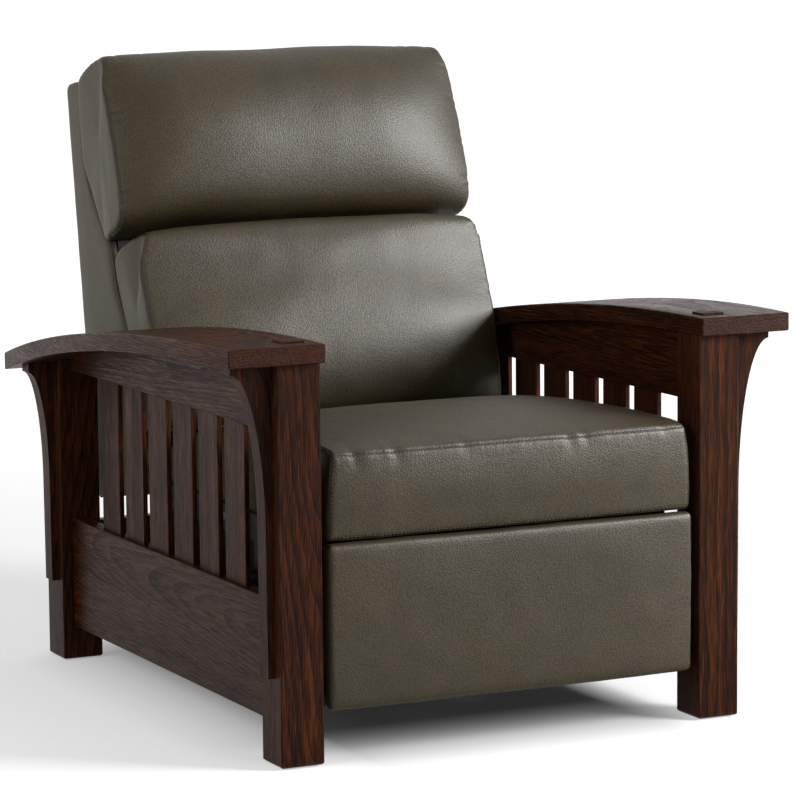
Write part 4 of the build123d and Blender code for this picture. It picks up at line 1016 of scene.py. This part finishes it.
def hexagon_bolt(name, x, y, z, sign, radius=0.0075, height=0.005):
    """Bolt head with a washer, pointing inwards along X."""
    bm = bmesh.new()
    turn = Matrix.Rotation(math.radians(90), 4, "Y")
    washer = 0.0012
    for segments, low, high, depth, middle in (
        (6, radius, radius * 0.96, height, height / 2 + washer),
        (24, radius * 1.35, radius * 1.35, washer, washer / 2),
    ):
        bmesh.ops.create_cone(bm, cap_ends=True, segments=segments, radius1=low, radius2=high, depth=depth,
                              matrix=Matrix.Translation((x - sign * middle, y, z)) @ turn)
    mesh = bpy.data.meshes.new(name)
    bm.to_mesh(mesh)
    bm.free()
    return link_object(name, mesh)


def fasteners():
    zinc = steel("zinc_bolt", (0.42, 0.42, 0.43), 0.32)
    for side, sign in SIDES:
        for row, z in (("low", 0.0905), ("high", 0.1695)):
            for i, y in enumerate((0.23, 0.44, 0.65)):
                bolt = hexagon_bolt(f"base_bolt_{side}_{row}_{i + 1}", sign * 0.341, y + SHIFT_Y, z, sign)
                give(bolt, zinc)
                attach(bolt, "frame")
        for i, y in enumerate((0.16, 0.34, 0.42, 0.50, 0.64)):
            screw = hexagon_bolt(f"seat_screw_{side}_{i + 1}", sign * 0.295, y + SHIFT_Y, 0.310, -sign,
                                 0.0045, 0.003)
            give(screw, zinc)
            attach(screw, "seat")


# Stage, lights and camera

FLOOR_GLOW = 0.45  # near the chair; it grows to white far behind
SHADOW_GLOW = 0.02
WORLD_LIGHT = 0.20
CAMERA_PLACE = (-2.60436, -5.51331, 1.30967)
CAMERA_TURN = (25.8, 7.93, -0.52)  # azimuth, elevation and roll in degrees
FOCAL_PIXELS = 3804.76
PICTURE_PIXELS = 800
SENSOR = 36.0


def stage():
    """Pale floor that fades to white, with a soft shadow painted under and beside the chair by a mask of place,
    in its colour and its glow.
    """
    corners = [(-40, -40, 0), (40, -40, 0), (40, 40, 0), (-40, 40, 0)]
    floor = mesh_object("studio_floor", corners, [(0, 1, 2, 3)], False)
    n = Nodes("studio_floor")
    place = n.add("ShaderNodeSeparateXYZ")
    n.link(n.source(), place.inputs[0])
    x, y = place.outputs["X"], place.outputs["Y"]
    # painted shadow: a mask of place, 0 near the chair and 1 away from it, fading slowly to the left and front
    # and quickly to the right
    parts = [
        n.math("POWER", n.span(x, 0.25, 0.34), 1.0),
        n.math("POWER", n.span(x, -0.24, -0.47), 0.42),
        n.math("POWER", n.span(y, -0.30, -0.60), 1.3),
        n.math("POWER", n.span(y, 0.36, 0.62), 0.8),
    ]
    total = n.math("MULTIPLY", parts[0], parts[0])
    for part in parts[1:]:
        total = n.math("ADD", total, n.math("MULTIPLY", part, part))
    clear = n.math("SQRT", total, 0.0, True)
    reach = n.add("ShaderNodeVectorMath", operation="LENGTH")
    n.link(n.source(), reach.inputs[0])
    far = n.span(reach.outputs["Value"], 1.2, 4.0, FLOOR_GLOW, 0.95)
    # painted shadow in the floor's colour: darker where the mask is low
    colour = n.mix(clear, (0.34, 0.34, 0.34), (0.66, 0.66, 0.66))
    soft = n.add("ShaderNodeBsdfDiffuse")
    n.link(colour, soft.inputs["Color"])
    glow = n.add("ShaderNodeEmission")
    path = n.add("ShaderNodeLightPath")
    seen = n.math("MAXIMUM", path.outputs["Is Camera Ray"], path.outputs["Is Glossy Ray"])
    seen = n.math("MAXIMUM", seen, path.outputs["Is Transmission Ray"])
    lit = n.math("ADD", n.math("MULTIPLY", clear, far), SHADOW_GLOW)
    n.link(n.math("MULTIPLY", seen, lit), glow.inputs["Strength"])
    both = n.add("ShaderNodeAddShader")
    n.link(soft.outputs[0], both.inputs[0])
    n.link(glow.outputs[0], both.inputs[1])
    n.link(both.outputs[0], n.out.inputs["Surface"])
    give(floor, n.mat)


def world():
    """White to the camera and in reflections, and a soft light on the chair."""
    w = bpy.data.worlds.new("studio")
    w.use_nodes = True
    bpy.context.scene.world = w
    tree = w.node_tree
    back = tree.nodes["Background"]
    path = tree.nodes.new("ShaderNodeLightPath")
    first = tree.nodes.new("ShaderNodeMath")
    first.operation = "MAXIMUM"
    second = tree.nodes.new("ShaderNodeMath")
    second.operation = "MAXIMUM"
    tree.links.new(path.outputs["Is Camera Ray"], first.inputs[0])
    tree.links.new(path.outputs["Is Glossy Ray"], first.inputs[1])
    tree.links.new(first.outputs[0], second.inputs[0])
    tree.links.new(path.outputs["Is Transmission Ray"], second.inputs[1])
    amount = tree.nodes.new("ShaderNodeMapRange")
    tree.links.new(second.outputs[0], amount.inputs["Value"])
    amount.inputs["To Min"].default_value = WORLD_LIGHT
    amount.inputs["To Max"].default_value = 1.0
    tree.links.new(amount.outputs["Result"], back.inputs["Strength"])
    back.inputs["Color"].default_value = (1.0, 1.0, 1.0, 1.0)


def softbox(name, place, target, size, power, shine=False):
    """Area light facing a target; one that shines is seen in highlights only."""
    data = bpy.data.lights.new(name, "AREA")
    data.shape = "RECTANGLE"
    data.size, data.size_y = size
    data.energy = power
    obj = bpy.data.objects.new(name, data)
    bpy.context.scene.collection.objects.link(obj)
    obj.location = place
    obj.rotation_mode = "QUATERNION"
    obj.rotation_quaternion = (Vector(target) - Vector(place)).to_track_quat("-Z", "Y")
    obj.visible_diffuse = not shine
    return obj


def lights():
    softbox("key_softbox", (2.35, -2.35, 1.75), (0.0, 0.0, 0.65), (1.1, 1.4), 155.0)
    softbox("shine_softbox", (2.95, -1.85, 1.95), (0.0, 0.0, 0.75), (1.3, 1.5), 430.0, True)
    softbox("top_softbox", (0.4, 0.6, 3.3), (0.0, 0.0, 0.5), (2.4, 2.0), 12.0)
    softbox("left_softbox", (-3.3, -0.9, 1.7), (0.0, 0.0, 0.4), (1.8, 2.0), 54.0)


def camera():
    az, el, roll = (math.radians(angle) for angle in CAMERA_TURN)
    fwd = Vector((math.sin(az) * math.cos(el), math.cos(az) * math.cos(el), -math.sin(el)))
    right = Vector((math.cos(az), -math.sin(az), 0.0))
    up = right.cross(fwd)
    rolled_right = right * math.cos(roll) + up * math.sin(roll)
    rolled_up = up * math.cos(roll) - right * math.sin(roll)
    data = bpy.data.cameras.new("camera")
    data.sensor_fit = "HORIZONTAL"
    data.sensor_width = SENSOR
    data.lens = FOCAL_PIXELS / PICTURE_PIXELS * SENSOR
    data.clip_start, data.clip_end = 0.1, 100.0
    obj = bpy.data.objects.new("camera", data)
    bpy.context.scene.collection.objects.link(obj)
    spin = Matrix((rolled_right, rolled_up, -fwd)).transposed().to_4x4()
    obj.matrix_world = Matrix.Translation(CAMERA_PLACE) @ spin
    bpy.context.scene.camera = obj


dress_wood()
dress_metal()
hide = leather("olive_leather")
for piece in (seat_cushion(), lumbar_cushion(), head_cushion(), footrest_pad(), outside_back(),
              back_side("left", -1.0), back_side("right", 1.0)):
    give(piece, hide)
fasteners()
stage()
world()
lights()
camera()
bpy.context.scene.view_settings.view_transform = "Standard"
